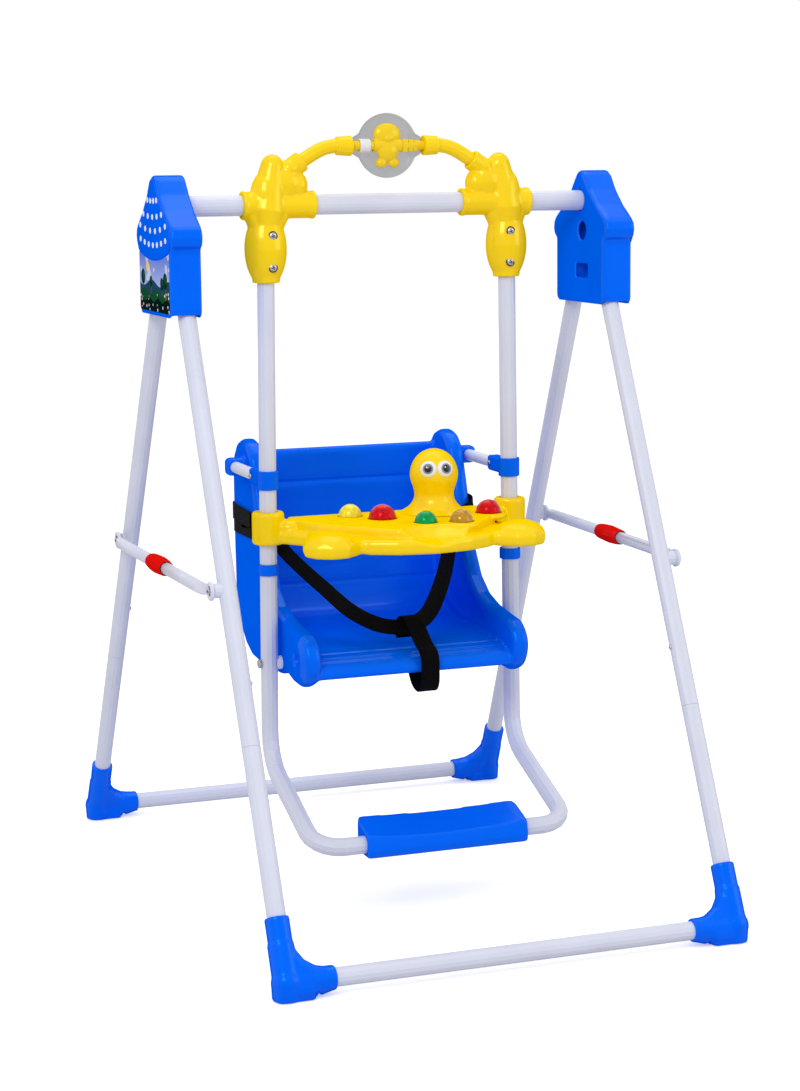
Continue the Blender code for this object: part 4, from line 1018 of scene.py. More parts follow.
def bar(start: Sequence[float], end: Sequence[float], radius: float, end_radius: float | None = None,
        segments: int = 40) -> bmesh.types.BMesh:
    """A round bar or a cone between two points.

    Args:
        start: the middle of its first end.
        end: the middle of its other end.
        radius: its radius at the start.
        end_radius: its radius at the end, where it differs.
        segments: its faces around.

    Returns:
        The closed mesh.
    """
    run = Vector(end) - Vector(start)
    bm = bmesh.new()
    bmesh.ops.create_cone(bm, cap_ends=True, segments=segments, radius1=radius,
                          radius2=radius if end_radius is None else end_radius, depth=run.length)
    bmesh.ops.transform(bm, matrix=aimed((Vector(start) + Vector(end)) / 2, run), verts=bm.verts)
    return bm


def block(low: Sequence[float], high: Sequence[float]) -> bmesh.types.BMesh:
    """A square block between two corners.

    Args:
        low: its lowest corner.
        high: its highest corner.

    Returns:
        The closed mesh.
    """
    bm = bmesh.new()
    bmesh.ops.create_cube(bm, size=1.0)
    bmesh.ops.scale(bm, vec=[b - a for a, b in zip(low, high)], verts=bm.verts)
    bmesh.ops.translate(bm, vec=[(a + b) / 2 for a, b in zip(low, high)], verts=bm.verts)
    return bm


def heaped(*parts: bmesh.types.BMesh) -> bmesh.types.BMesh:
    """Puts shapes that are in place already into one mesh."""
    return merged((part, Matrix.Identity(4)) for part in parts)


@dataclass
class Hanger:
    """A moulded T-piece: a tall hump over the crossbar, a shoulder for the toy's arch and a bulb below."""

    side: Side
    finishes: Finishes
    top_x: float = 0.2035
    low_x: float = 0.2112
    bar_radius: float = 0.016
    bar_reach: tuple[float, float] = (0.09, 0.28)
    tube_radius: float = 0.014
    tube_top: float = 1.058
    tube_end: float = 0.95
    tube_run: float = 0.798
    arch_radius: float = 0.0115
    arch_run: tuple[Point, Point] = ((0.1560, 0.0, 1.1592), (0.1340, 0.0, 1.1725))
    clear: float = 0.0005
    grain: float = 0.0012
    rounds: int = 22
    bulb: tuple[Point, Point] = ((0.2035, 0.0, 1.0320), (0.0335, 0.0315, 0.0600))
    bulb_end: float = 0.9800
    eggs: tuple[tuple[Point, Point], ...] = (
        ((0.1905, 0.0, 1.1565), (0.0190, 0.0195, 0.0220)),
        ((0.1640, -0.0020, 1.1555), (0.0150, 0.0165, 0.0150)),
        ((0.1500, 0.0, 1.1300), (0.0160, 0.0190, 0.0215)),
        ((0.1690, 0.0, 1.1330), (0.0270, 0.0215, 0.0300)),
        ((0.1990, 0.0, 1.1120), (0.0275, 0.0262, 0.0430)),
        ((0.1990, 0.0, 1.1010), (0.0350, 0.0255, 0.0345)))
    cones: tuple[tuple[Point, Point, float, float], ...] = (
        ((0.1232, 0.0, 1.1000), (0.2422, 0.0, 1.1000), 0.0210, 0.0210),
        ((0.1232, 0.0, 1.1000), (0.1292, 0.0, 1.1000), 0.0221, 0.0221),
        ((0.2362, 0.0, 1.1000), (0.2422, 0.0, 1.1000), 0.0226, 0.0226),
        ((0.2035, 0.0, 0.9795), (0.2035, 0.0, 1.1000), 0.0205, 0.0205),
        ((0.2035, 0.0, 0.9795), (0.2035, 0.0, 0.9890), 0.0218, 0.0218),
        ((0.2035, 0.0, 1.0660), (0.2005, 0.0, 1.0920), 0.0245, 0.0298),
        ((0.2005, 0.0, 1.0920), (0.1905, 0.0, 1.1600), 0.0298, 0.0185),
        ((0.1990, 0.0, 1.0640), (0.1740, 0.0, 1.0950), 0.0225, 0.0150),
        ((0.2065, 0.0, 1.0640), (0.2270, 0.0, 1.0950), 0.0225, 0.0150),
        ((0.1600, 0.0, 1.1560), (0.1420, 0.0, 1.1680), 0.0162, 0.0166))

    def shapes(self) -> bmesh.types.BMesh:
        """The overlapping shapes that the form flows from."""
        parts = [bar(*sided(self.side, (start, end)), radius, end_radius)
                 for start, end, radius, end_radius in self.cones]
        centre, radii = self.bulb
        x, y, z = sided(self.side, [centre])[0]
        below = block((x - 0.05, -0.05, 0.96), (x + 0.05, 0.05, self.bulb_end))
        parts.append(bored(globe((x, y, z), radii), below))
        parts += [globe(sided(self.side, [place])[0], sizes) for place, sizes in self.eggs]
        return heaped(*parts)

    def build(self) -> None:
        """Makes the hanger with its bores."""
        out = self.side.value
        near, far = self.bar_reach
        splay = (self.low_x - self.top_x) * (self.tube_top - self.tube_end) / self.tube_run
        toe, heel = (Vector(point) for point in sided(self.side, self.arch_run))
        along = (heel - toe).normalized()
        form = bored(
            moulded(self.shapes(), self.grain, self.rounds),
            bar((out * near, 0, CROSSBAR_Z), (out * far, 0, CROSSBAR_Z), self.bar_radius + self.clear),
            bar((out * (self.top_x + splay), 0, self.tube_end), (out * self.top_x, 0, self.tube_top + 0.0006),
                self.tube_radius + self.clear),
            bar(toe - along * 0.0005, heel + along * 0.015, self.arch_radius + 0.0004))
        made = piece(f"hanger_skin_{self.side.word}", form, [self.finishes.yellow], "swing", 0.9)
        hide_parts(f"hanger_{self.side.word}")


@dataclass
class SoftSkin:
    """A finer skin for a moulded CAD node, with its edges flowed round."""

    node: str
    body: str
    material: bpy.types.Material
    slot: Slot
    grain: float
    rounds: int

    def build(self) -> None:
        """Makes the skin and lets it stand for the node."""
        form = moulded(copied(self.node), self.grain, self.rounds)
        made = piece(self.node + "_skin", form, [self.material], self.body, 1.0)
        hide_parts(self.node)


def leg_middle(side: Side, face: Face, z: float) -> Vector:
    """The middle of a leg's tube at a height.

    Args:
        side: which end.
        face: which frame.
        z: the height.

    Returns:
        The point.
    """
    y = face.value * (LEG_PIVOT_Y + (LEG_PIVOT_Z - z) * math.tan(LEG_TILT))
    splay = REAR_LEG_SPLAY * (CROSSBAR_Z - z) / CROSSBAR_Z
    x = FRONT_LEG_X if face is Face.FRONT else REAR_LEG_X + splay
    return Vector((side.value * x, y, z))


@dataclass
class FootSkin:
    """A foot's moulded skin: round sleeves on the leg and the floor bar, a full heel and a flat sole."""

    side: Side
    face: Face
    finishes: Finishes
    bar_z: float = 0.0242
    sleeve: float = 0.0180
    full: float = 0.0198
    heel: float = 0.0222
    reach: float = 0.0712
    rise: float = 0.0935
    shoulder: float = 0.0560
    sole: float = 0.0440
    sole_drop: float = 0.0088
    sole_radius: float = 0.0156
    bore: float = 0.0143
    bore_from: float = 0.026
    bore_low: float = 0.0480
    ground: float = 0.0002
    grain: float = 0.0015
    rounds: int = 14

    def build(self) -> None:
        """Makes the skin with its bores and lets it stand for the node."""
        node = f"foot_{self.face.word}_{self.side.word}"
        corner = leg_middle(self.side, self.face, self.bar_z)
        up = (leg_middle(self.side, self.face, 0.300) - corner).normalized()
        inward = Vector((-self.side.value, 0.0, 0.0))
        low = corner + Vector((0.0, 0.0, -self.sole_drop))
        shapes = heaped(
            copied(node),
            bar(corner, corner + up * self.rise, self.sleeve),
            bar(corner, corner + up * self.shoulder, self.full, self.full - 0.0004),
            bar(corner, corner + inward * self.reach, self.sleeve),
            bar(low, low + inward * self.sole, self.sole_radius),
            bar(low + inward * self.sole, corner + inward * (self.reach - 0.0040), self.sole_radius,
                self.sleeve - 0.0002),
            globe(corner, (self.heel, self.heel, self.heel)),
            bar((corner.x, corner.y, self.ground), corner, self.heel - 0.0016, self.heel - 0.0004))
        leg_low = leg_middle(self.side, self.face, self.bore_low)
        form = bored(
            moulded(shapes, self.grain, self.rounds),
            bar(corner + inward * self.bore_from, corner + inward * 0.12, self.bore),
            bar(leg_low, leg_middle(self.side, self.face, 0.2), self.bore),
            block((corner.x - 0.1, corner.y - 0.1, -0.05), (corner.x + 0.1, corner.y + 0.1, self.ground)))
        made = piece(node + "_skin", form, [self.finishes.blue], f"{self.face.word}_frame", 1.0)
        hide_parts(node)


@dataclass
class Footrest:
    """The footrest's moulded skin, with the two rear corners well rounded."""

    finishes: Finishes
    bar_y: float = -0.230
    above_low: float = 0.0185
    corner: float = 0.0200
    bore: float = 0.0146
    grain: float = 0.0019
    rounds: int = 26

    def build(self) -> None:
        """Makes the skin and lets it stand for the node."""
        low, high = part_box("footrest")
        cutters = []
        for side in (-1, 1):
            x, y = side * (high[0] - self.corner), high[1] - self.corner
            near, far = sorted((x, side * (high[0] + 0.01)))
            post = bar((x, y, low[2] - 0.02), (x, y, high[2] + 0.02), self.corner)
            edge = block((near, y, low[2] - 0.01), (far, high[1] + 0.01, high[2] + 0.01))
            cutters.append(bored(edge, post))
        form = moulded(bored(copied("footrest"), *cutters), self.grain, self.rounds)
        height = low[2] + self.above_low
        rod = bar((low[0] - 0.02, self.bar_y, height), (high[0] + 0.02, self.bar_y, height), self.bore)
        form = bored(form, rod)
        made = piece("footrest_skin", form, [self.finishes.blue], "swing", 1.0)
        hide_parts("footrest")


@dataclass
class HouseTrim:
    """The outer face of an end housing: raised roof, tile marks and a printed film."""

    side: Side
    finishes: Finishes
    face_x: float = 0.3835
    roof_proud: float = 0.0009
    mark_width: float = 0.0112
    mark_height: float = 0.0092
    mark_proud: float = 0.00035
    mark_rows: tuple[tuple[float, int, float], ...] = (
        (1.1095, 4, 0.0180), (1.0850, 5, 0.0270), (1.0635, 6, 0.0300), (1.0420, 7, 0.0250))
    mark_sag: float = 0.0095
    mark_half: float = 0.080
    sunk: float = 0.0003
    film: float = 0.00025
    film_half: float = 0.0895
    film_low: float = 0.9400
    film_corner: float = 0.0045
    eave_half: float = 0.090
    eave_z: float = 1.0205
    eave_rise: float = 0.0125
    rib_x: tuple[float, float] = (0.3372, 0.3798)
    rib_y: tuple[float, float] = (0.0182, 0.0204)
    rib_z: tuple[float, float] = (0.9560, 1.0740)

    def placing(self, proud: float = 0.0) -> Matrix:
        """Local X to world Y, local Y up and local Z outwards, on the outer face.

        Args:
            proud: how far out from the face.

        Returns:
            The matrix.
        """
        out = self.side.value
        return Matrix.Translation((out * (self.face_x + proud), 0, 0)) @ Matrix(
            ((0, 0, out, 0), (1, 0, 0, 0), (0, 1, 0, 0), (0, 0, 0, 1)))

    def eave(self, y: float) -> float:
        """The height of the roof's lower line at a place across the face."""
        return self.eave_z + self.eave_rise * (y / self.eave_half) ** 2

    def roof_outline(self) -> list[tuple[float, float]]:
        """The raised roof, a little inside the housing's own edge."""
        right = [(self.eave_half, self.eave(self.eave_half)), (0.0990, 1.0460), (0.1015, 1.0545),
                 (0.0990, 1.0640), (0.0915, 1.0710), (0.0600, 1.0915), (0.0325, 1.1150), (0.0125, 1.1395),
                 (0.0, 1.1440)]
        left = [(-y, z) for y, z in reversed(right[:-1])]
        across = [self.eave_half * (step / 6 - 1) for step in range(1, 12)]
        return right + left + [(y, self.eave(y)) for y in across]

    def build_roof(self) -> None:
        """The raised roof plate."""
        plate = slab(self.roof_outline(), self.roof_proud + 0.0004, 0.0004)
        piece(f"house_roof_plate_{self.side.word}", merged([(plate, self.placing(-0.0004))]),
              [self.finishes.blue], "stand_top")

    def mark_places(self) -> list[tuple[float, float]]:
        """The middles of the tile marks, in rows that hang like the roof's lower line."""
        places = []
        for height, count, pitch in self.mark_rows:
            for index in range(count):
                y = (index - (count - 1) / 2) * pitch
                places.append((y, height + self.mark_sag * (y / self.mark_half) ** 2))
        return places

    def build_marks(self) -> None:
        """White rounded tile marks over the roof."""
        parts = []
        for y, z in self.mark_places():
            bm = bmesh.new()
            bmesh.ops.create_circle(bm, cap_ends=True, segments=14, radius=0.5)
            bmesh.ops.scale(bm, vec=(self.mark_width, self.mark_height, 1), verts=bm.verts)
            raise_faces(bm, bm.faces, self.mark_proud + self.sunk)
            eased(bm, 0.0002, 1)
            parts.append((bm, self.placing(self.roof_proud - self.sunk) @ Matrix.Translation((y, z, 0))))
        piece(f"house_tile_marks_{self.side.word}", merged(parts), [self.finishes.white], "stand_top")

    def build_film(self) -> None:
        """The printed film below the roof."""
        half, low, cut = self.film_half, self.film_low, self.film_corner
        across = [half * (1 - step / 6) for step in range(13)]
        top = [(y, self.eave(y) - 0.0022) for y in across]
        outline = [(-half + cut, low), (half - cut, low), (half, low + cut)] + top + [(-half, low + cut)]
        sheet = slab(outline, self.film + 0.0002, 0.0001)
        piece(f"house_print_{self.side.word}", merged([(sheet, self.placing(-0.0002))]),
              [self.finishes.print], "stand_top")

    def build_rib(self) -> None:
        """A blue rib inside the housing, behind the slots of its inner face."""
        near, far = sorted(self.side.value * x for x in self.rib_x)
        sheet = block((near, self.rib_y[0], self.rib_z[0]), (far, self.rib_y[1], self.rib_z[1]))
        eased(sheet, 0.0004, 1)
        piece(f"house_rib_{self.side.word}", sheet, [self.finishes.blue], "stand_top")

    def build(self) -> None:
        """Makes the whole trim."""
        self.build_roof()
        self.build_marks()
        self.build_film()
        self.build_rib()


def shade_painted(bm: bmesh.types.BMesh) -> bmesh.types.BMesh:
    """Gives every face of a mesh its piece's second finish, which paints it black as painted shade."""
    for face in bm.faces:
        face.material_index = 1
    return bm


@dataclass
class ScrewHead:
    """A domed screw head with a cross recess on a countersunk ring; the recess and the ring are painted black
    as painted shade.
    """

    name: str
    centre: Point
    direction: Point
    body: str
    finishes: Finishes
    radius: float = 0.0050
    height: float = 0.0026
    ring: float = 0.0012

    def build(self) -> None:
        """Makes the head, its cross and the ring, the cross and the ring painted black as painted shade."""
        dome = dome_profile(self.radius, self.height, 6)
        dome += [(self.radius, 0.0), (self.radius, -0.0008), (0.0, -0.0008)]
        placing = aimed(self.centre, self.direction)
        parts = [(spun(dome, 28), placing)]
        # The cross recess is painted black, as painted shade in the recess.
        for turn in (0.0, math.pi / 2):
            half = (self.radius * 0.525, self.radius * 0.10, 0.0003)
            slot = eased(block([-size for size in half], half), 0.0001, 1)
            lift = Matrix.Translation((0, 0, self.height * 0.93)) @ Matrix.Rotation(turn + 0.4, 4, "Z")
            parts.append((shade_painted(slot), placing @ lift))
        rim = self.radius + self.ring
        # The ring round the head is painted black, as painted shade in the countersink.
        shade_ring = [(rim, 0.0), (self.radius + self.ring * 0.5, 0.0004), (self.radius, 0.0),
                (self.radius, -0.0006), (rim, -0.0006), (rim, 0.0)]
        parts.append((shade_painted(spun(shade_ring, 28)), placing))
        piece(self.name, merged(parts), [self.finishes.steel, self.finishes.gloss_black], self.body)


@dataclass
class Button:
    """A small domed cap: a rivet head or a sprung leg button."""

    name: str
    centre: Point
    direction: Point
    body: str
    material: bpy.types.Material
    slot: Slot
    radius: float = 0.0062
    height: float = 0.0030

    def build(self) -> None:
        """Makes the cap with a small rim."""
        profile = dome_profile(self.radius * 0.86, self.height, 8)
        profile += [(self.radius * 0.90, self.height * 0.18), (self.radius, self.height * 0.10),
                    (self.radius, -0.0010), (0.0, -0.0010)]
        bm = merged([(spun(profile, 28), aimed(self.centre, self.direction))])
        piece(self.name, bm, [self.material], self.body)


@dataclass
class Fastenings:
    """Screws in the hangers and clamps, rivet caps on the braces and buttons on the legs."""

    finishes: Finishes
    screw_x: float = 0.200
    screw_places: tuple[tuple[float, float], ...] = ((1.053, -0.0287), (1.004, -0.0270))
    clamp_x: float = 0.2073
    clamp_z: float = 0.668
    clamp_screw_y: float = 0.0607
    lug_half: float = 0.0105
    brace_head: tuple[float, float] = (0.3825, 0.3915)
    brace_y: float = 0.2675
    brace_z: float = 0.545
    button_z: float = 0.416
    leg_radius: float = 0.014
    flat_back: float = 0.0030
    flat_half: float = 0.02
    flat_slope: tuple[tuple[float, float], ...] = (
        (0.0016, 0.0), (0.0016, 0.0195), (0.0300, 0.0700), (0.0300, 0.0))
    ear: tuple[float, float, float] = (0.0070, 0.0143, 0.0034)
    ear_foot: float = -0.0020

    def build_side(self, side: Side) -> None:
        """The fastenings of one end.

        Args:
            side: which end.
        """
        for index, (z, y) in enumerate(self.screw_places):
            ScrewHead(f"hanger_screw_{side.word}_{index + 1}", (side.value * self.screw_x, y, z),
                      (0, -1, 0), "swing", self.finishes, radius=0.0062, height=0.0030, ring=0.0014).build()
        edge = side.value * (self.clamp_x + self.lug_half)
        ScrewHead(f"clamp_screw_{side.word}", (edge, self.clamp_screw_y, self.clamp_z), (side.value, 0, 0),
                  "swing", self.finishes, radius=0.0042, height=0.0022, ring=0.0010).build()
        inner = side.value * (self.clamp_x - self.lug_half)
        ScrewHead(f"clamp_nut_{side.word}", (inner, self.clamp_screw_y, self.clamp_z), (-side.value, 0, 0),
                  "swing", self.finishes, radius=0.0046, height=0.0018, ring=0.0008).build()
        for face in Face:
            x = self.brace_head[0] if face is Face.FRONT else self.brace_head[1]
            body = "front_frame" if face is Face.FRONT else f"{side.word}_brace_rear"
            place = (side.value * x, face.value * self.brace_y, self.brace_z)
            ScrewHead(f"brace_rivet_{face.word}_{side.word}", place, (side.value, 0, 0), body, self.finishes,
                      radius=0.0054, height=0.0024, ring=0.0014).build()
            self.build_brace_end(side, face, x)
            centre = leg_middle(side, face, self.button_z) - side.out * (self.leg_radius - 0.0004)
            Button(f"leg_button_{face.word}_{side.word}", tuple(centre), (-side.value, 0, 0),
                   f"{face.word}_frame", self.finishes.steel, Slot.STEEL, radius=0.0040,
                   height=0.0030).build()

    def build_brace_end(self, side: Side, face: Face, head_x: float) -> None:
        """The pressed end of a brace: its tube drawn flat towards a round ear with a raised rim.

        Args:
            side: which end of the set.
            face: which end of the brace.
            head_x: how far out the rivet's head stands.
        """
        out, back = side.value, -face.value
        anchor = face.value * self.brace_y
        base = head_x - self.flat_back
        node = f"brace_{face.word}_{side.word}"
        slope = bmesh.new()
        for height in (self.brace_z - self.flat_half, self.brace_z + self.flat_half):
            for x, y in self.flat_slope:
                slope.verts.new((out * (base + x), anchor + back * y, height))
        bmesh.ops.convex_hull(slope, input=slope.verts)
        bmesh.ops.recalc_face_normals(slope, faces=slope.faces)
        form = bored(copied(node), slope)
        made = piece(node + "_skin", form, [self.finishes.white_paint], f"{side.word}_brace_{face.word}",
                     0.7)
        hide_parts(node)
        inner, outer, thick = self.ear
        wall = [(outer, self.ear_foot), (outer, thick * 0.55), (outer - 0.0012, thick * 0.85),
                (outer - 0.0030, thick), (inner + 0.0024, thick * 0.82), (inner, thick * 0.50),
                (inner, self.ear_foot), (outer, self.ear_foot)]
        ear = (spun(wall, 36), aimed((out * base, anchor, self.brace_z), (out, 0, 0)))
        piece(f"brace_ear_{face.word}_{side.word}", merged([ear]), [self.finishes.white_paint],
              f"{side.word}_brace_{face.word}")

    def build(self) -> None:
        """Makes the fastenings of both ends."""
        for side in Side:
            self.build_side(side)


@dataclass
class ToyFace:
    """The toy animal's head, turned smooth, and its two domed eyes."""

    finishes: Finishes
    eye_radius: float = 0.0132
    eye_depth: float = 0.0062
    iris_radius: float = 0.0086
    pupil_radius: float = 0.0060
    eyes: tuple[tuple[float, float, float, float], ...] = (
        (0.0400, -0.0680, 0.6800, -0.52), (0.0660, -0.0737, 0.6800, 0.10))
    eye_tilt: float = 0.24
    ball_radii: tuple[float, ...] = (0.0100, 0.0118)
    curve_steps: int = 4
    head: tuple[tuple[float, float], ...] = (
        (0.0, 0.1035), (0.0080, 0.1026), (0.0155, 0.1000), (0.0235, 0.0950), (0.0310, 0.0868),
        (0.0362, 0.0765), (0.0388, 0.0640), (0.0374, 0.0520), (0.0336, 0.0410), (0.0318, 0.0310),
        (0.0334, 0.0215), (0.0386, 0.0130), (0.0462, 0.0066), (0.0560, 0.0014))

    def build_head(self) -> None:
        """The head and its flared neck, turned smooth."""
        bends = [Vector((radius, height)) for radius, height in self.head]
        profile = []
        for index in range(len(bends) - 1):
            before = bends[index - 1] if index else Vector((-bends[1].x, bends[1].y))
            after = bends[min(len(bends) - 1, index + 2)]
            for step in range(self.curve_steps):
                spot = soft_point((before, bends[index], bends[index + 1], after), step / self.curve_steps)
                profile.append((max(0.0, spot.x) if index or step else 0.0, spot.y))
        profile += [self.head[-1], (self.head[-1][0] - 0.0010, 0.0004), (0.0, 0.0004)]
        bm = merged([(spun(profile, 56), Matrix.Translation(HEAD_AT))])
        made = piece("toy_head_skin", bm, [self.finishes.yellow], "tray", 0.9)
        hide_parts("toy_head")

    def eye(self, name: str, x: float, y: float, z: float, turn: float) -> None:
        """One eye with a white, a grey ring, a dark pupil and a small glint, which is a painted highlight.

        Args:
            name: the piece's name.
            x: its middle across.
            y: its middle in depth.
            z: its height.
            turn: how far it looks to the side, in radians.
        """
        radii = (0.0, self.pupil_radius * 0.5, self.pupil_radius, self.pupil_radius + 0.0004,
                 self.iris_radius, self.iris_radius + 0.0003, *self.ball_radii, self.eye_radius * 0.97,
                 self.eye_radius)
        profile = [(radius, self.eye_depth * math.sqrt(1 - (radius / self.eye_radius) ** 2))
                   for radius in radii]
        profile += [(self.eye_radius, -0.0020), (0.0, -0.0020)]
        ball = spun(profile, 40)
        for face in ball.faces:
            middle = face.calc_center_median()
            reach = math.hypot(middle.x, middle.y)
            if middle.z > 0:
                face.material_index = int(reach < self.iris_radius) + int(reach < self.pupil_radius)
        # Painted highlight: the glint is a white spot set at a fixed place over the pupil.
        glint = spun([(0.0, 0.0004), (0.0009, 0.0003), (0.0014, 0.0), (0.0, -0.0004)], 14)
        placing = aimed((x, y, z), (math.sin(turn), -math.cos(turn), self.eye_tilt))
        spot = placing @ Matrix.Translation((-0.0020, 0.0022, self.eye_depth * 0.965))
        piece(name, merged([(ball, placing), (glint, spot)]),
              [self.finishes.white, self.finishes.iris, self.finishes.gloss_black], "tray")

    def build(self) -> None:
        """Makes the head and both eyes."""
        self.build_head()
        for index, (x, y, z, turn) in enumerate(self.eyes):
            self.eye(f"toy_eye_{index + 1}", x, y, z, turn)


@dataclass
class TraySkin:
    """The tray's moulded skin: soft swells round the domes and the head, full arms and rounded lobes."""

    finishes: Finishes
    top_z: float = TRAY_TOP
    grain: float = 0.0018
    rounds: int = 9
    domes: tuple[tuple[float, float, float], ...] = (
        (-0.080, -0.030, 0.0190), (-0.041, -0.074, 0.0222), (0.007, -0.142, 0.0180),
        (0.062, -0.154, 0.0185), (0.138, -0.080, 0.0205))
    dome_clear: float = 0.0018
    dome_rise: float = 1.04
    dome_seat: float = 0.0030
    stem_share: float = 0.62
    stem_low: float = -0.0264
    swell_drop: float = 0.0040
    dome_swell: Point = (0.0105, 0.0095, 0.0072)
    head_swell: Point = (0.0740, 0.0600, 0.0078)
    swells: tuple[tuple[Point, Point], ...] = (
        ((0.1580, -0.1600, 0.5850), (0.0400, 0.0400, 0.0195)),
        ((0.1740, -0.0160, 0.5930), (0.0220, 0.0170, 0.0120)))
    arm: tuple[Point, Point] = ((0.2080, 0.0, 0.5870), (0.1560, -0.0120, 0.5870))
    arm_radii: tuple[float, float] = (0.0190, 0.0165)
    tube: tuple[Point, Point] = ((0.20545, 0.0, 0.660), (0.20885, 0.0, 0.530))
    tube_radius: float = 0.0149

    def shapes(self) -> bmesh.types.BMesh:
        """The CAD tray with the swells laid over it."""
        height = self.top_z - self.swell_drop
        wide, deep, thick = self.dome_swell
        parts = [copied("tray")]
        for x, y, radius in self.domes:
            parts.append(globe((x, y, height), (radius + wide, radius + deep, thick)))
        parts.append(globe((HEAD_AT[0], HEAD_AT[1], height), self.head_swell))
        for side in Side:
            parts += [globe(sided(side, [centre])[0], radii) for centre, radii in self.swells]
            parts.append(bar(*sided(side, self.arm), *self.arm_radii))
        return heaped(*parts)

    def build_domes(self) -> None:
        """The press domes with a smooth, slightly taller cap on each stem."""
        kinds = (("yellow", Slot.YELLOW), ("red_left", Slot.RED), ("green", Slot.GREEN),
                 ("amber", Slot.AMBER), ("red_right", Slot.RED))
        for (word, slot), (x, y, radius) in zip(kinds, self.domes):
            stem = radius * self.stem_share
            profile = dome_profile(radius, radius * self.dome_rise, 15)
            profile += [(radius, 0.0), (radius - 0.0008, -0.0008), (stem, -0.0008),
                        (stem, self.stem_low + 0.0006), (stem - 0.0008, self.stem_low),
                        (0.0, self.stem_low)]
            bm = merged([(spun(profile, 40), Matrix.Translation((x, y, self.top_z + 0.0004)))])
            finish = getattr(self.finishes, "dome_" + word.split("_")[0])
            made = piece(f"dome_cap_{word}", bm, [finish], f"dome_{word}", 1.2)
            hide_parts(f"dome_{word}")

    def build(self) -> None:
        """Makes the skin with the bores for the tubes and the domes, and lets it stand for the node."""
        self.build_domes()
        tools = []
        for x, y, radius in self.domes:
            above = (x, y, self.top_z + 0.02)
            tools.append(bar((x, y, self.top_z - self.dome_seat), above, radius + self.dome_clear))
            tools.append(bar((x, y, self.top_z - 0.038), above, radius * self.stem_share + 0.0006))
        tools += [bar(*sided(side, self.tube), self.tube_radius) for side in Side]
        form = bored(moulded(self.shapes(), self.grain, self.rounds), *tools)
        made = piece("tray_skin", form, [self.finishes.yellow], "tray", 1.0)
        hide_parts("tray")


@dataclass
class Spinner:
    """The clear lens-shaped case, the little bear in it, the bush beside the bear and the ribbed hub."""

    finishes: Finishes
    axis_z: float = 1.1905
    radius: float = 0.0510
    half_depth: float = 0.0150
    neck: tuple[float, float, float, float] = (0.0400, 0.0230, 0.0572, 0.0135)
    neck_flat: float = 0.62
    bush: tuple[float, float] = (-0.0470, -0.0300)
    bush_wall: tuple[float, float] = (0.0084, 0.0108)
    bear_hub: tuple[float, float] = (0.0235, 0.0100)
    ribs: tuple[tuple[float, float, float], ...] = (
        (0.0240, 0.0330, 0.0100), (0.0345, 0.0420, 0.0092), (0.0435, 0.0500, 0.0084))
    spindle_radius: float = 0.0075
    bear: tuple[tuple[Point, Point], ...] = (
        ((0.0, 0.0, 0.0165), (0.0228, 0.0104, 0.0186)),
        ((0.0, -0.0050, 0.0110), (0.0095, 0.0070, 0.0070)),
        ((0.0, -0.0030, -0.0085), (0.0180, 0.0094, 0.0168)),
        ((-0.0104, -0.0012, -0.0270), (0.0094, 0.0072, 0.0080)),
        ((0.0104, -0.0012, -0.0270), (0.0094, 0.0072, 0.0080)))

    def build_case(self) -> None:
        """The case as one clear form with tapered necks."""
        lens = globe((0, 0, 0), (self.radius, self.radius, self.half_depth), 64)
        bmesh.ops.rotate(lens, cent=(0, 0, 0), matrix=Matrix.Rotation(math.pi / 2, 3, "X"), verts=lens.verts)
        bmesh.ops.translate(lens, vec=(0, 0, self.axis_z), verts=lens.verts)
        inner, wide, outer, narrow = self.neck
        parts = [lens]
        for side in Side:
            cone = bar((side.value * inner, 0, 0), (side.value * outer, 0, 0), wide, narrow, 48)
            bmesh.ops.scale(cone, vec=(1, self.neck_flat, 1), verts=cone.verts)
            bmesh.ops.translate(cone, vec=(0, 0, self.axis_z), verts=cone.verts)
            parts.append(cone)
        form = moulded(heaped(*parts), grain=0.0011, rounds=5)
        case = piece("spinner_shell", form, [self.finishes.clear], "spinner", 1.2)
        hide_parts("spinner_case")

    def build_bear(self) -> None:
        """The bear, bored for the spindle."""
        eggs = [globe((x, y, self.axis_z + z), radii, 32) for (x, y, z), radii in self.bear]
        reach, radius = self.bear_hub
        hub = bar((-reach, 0, self.axis_z), (reach, 0, self.axis_z), radius)
        form = moulded(heaped(hub, *eggs), grain=0.0008, rounds=4)
        form = bored(form, bar((-0.05, 0, self.axis_z), (0.05, 0, self.axis_z), self.spindle_radius + 0.0006))
        bear = piece("spinner_bear_skin", form, [self.finishes.yellow], "spinner", 0.9)
        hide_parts("spinner_bear")

    def build_bush(self) -> None:
        """The bush as a short tube."""
        start, end = self.bush
        inner, outer = self.bush_wall
        wall = [(outer, end), (outer, start), (inner, start), (inner, end), (outer, end)]
        bm = spun(wall, 28)
        eased(bm, 0.0006, 2)
        turn = Matrix.Translation((0, 0, self.axis_z)) @ Matrix.Rotation(math.pi / 2, 4, "Y")
        piece("spinner_bush", merged([(bm, turn)]), [self.finishes.white], "spinner")

    def build_hub(self) -> None:
        """Square ribs on the spindle at the bear's other side."""
        parts = []
        for low, high, half in self.ribs:
            rib = block((low, -half * 0.8, self.axis_z - half), (high, half * 0.8, self.axis_z + half))
            eased(rib, 0.0009, 2)
            bore = bar((low - 0.01, 0, self.axis_z), (high + 0.01, 0, self.axis_z),
                       self.spindle_radius - 0.0012, segments=24)
            parts.append(bored(rib, bore))
        piece("spinner_hub", heaped(*parts), [self.finishes.yellow], "swing")

    def build(self) -> None:
        """Makes the whole spinner."""
        self.build_case()
        self.build_bear()
        self.build_bush()
        self.build_hub()


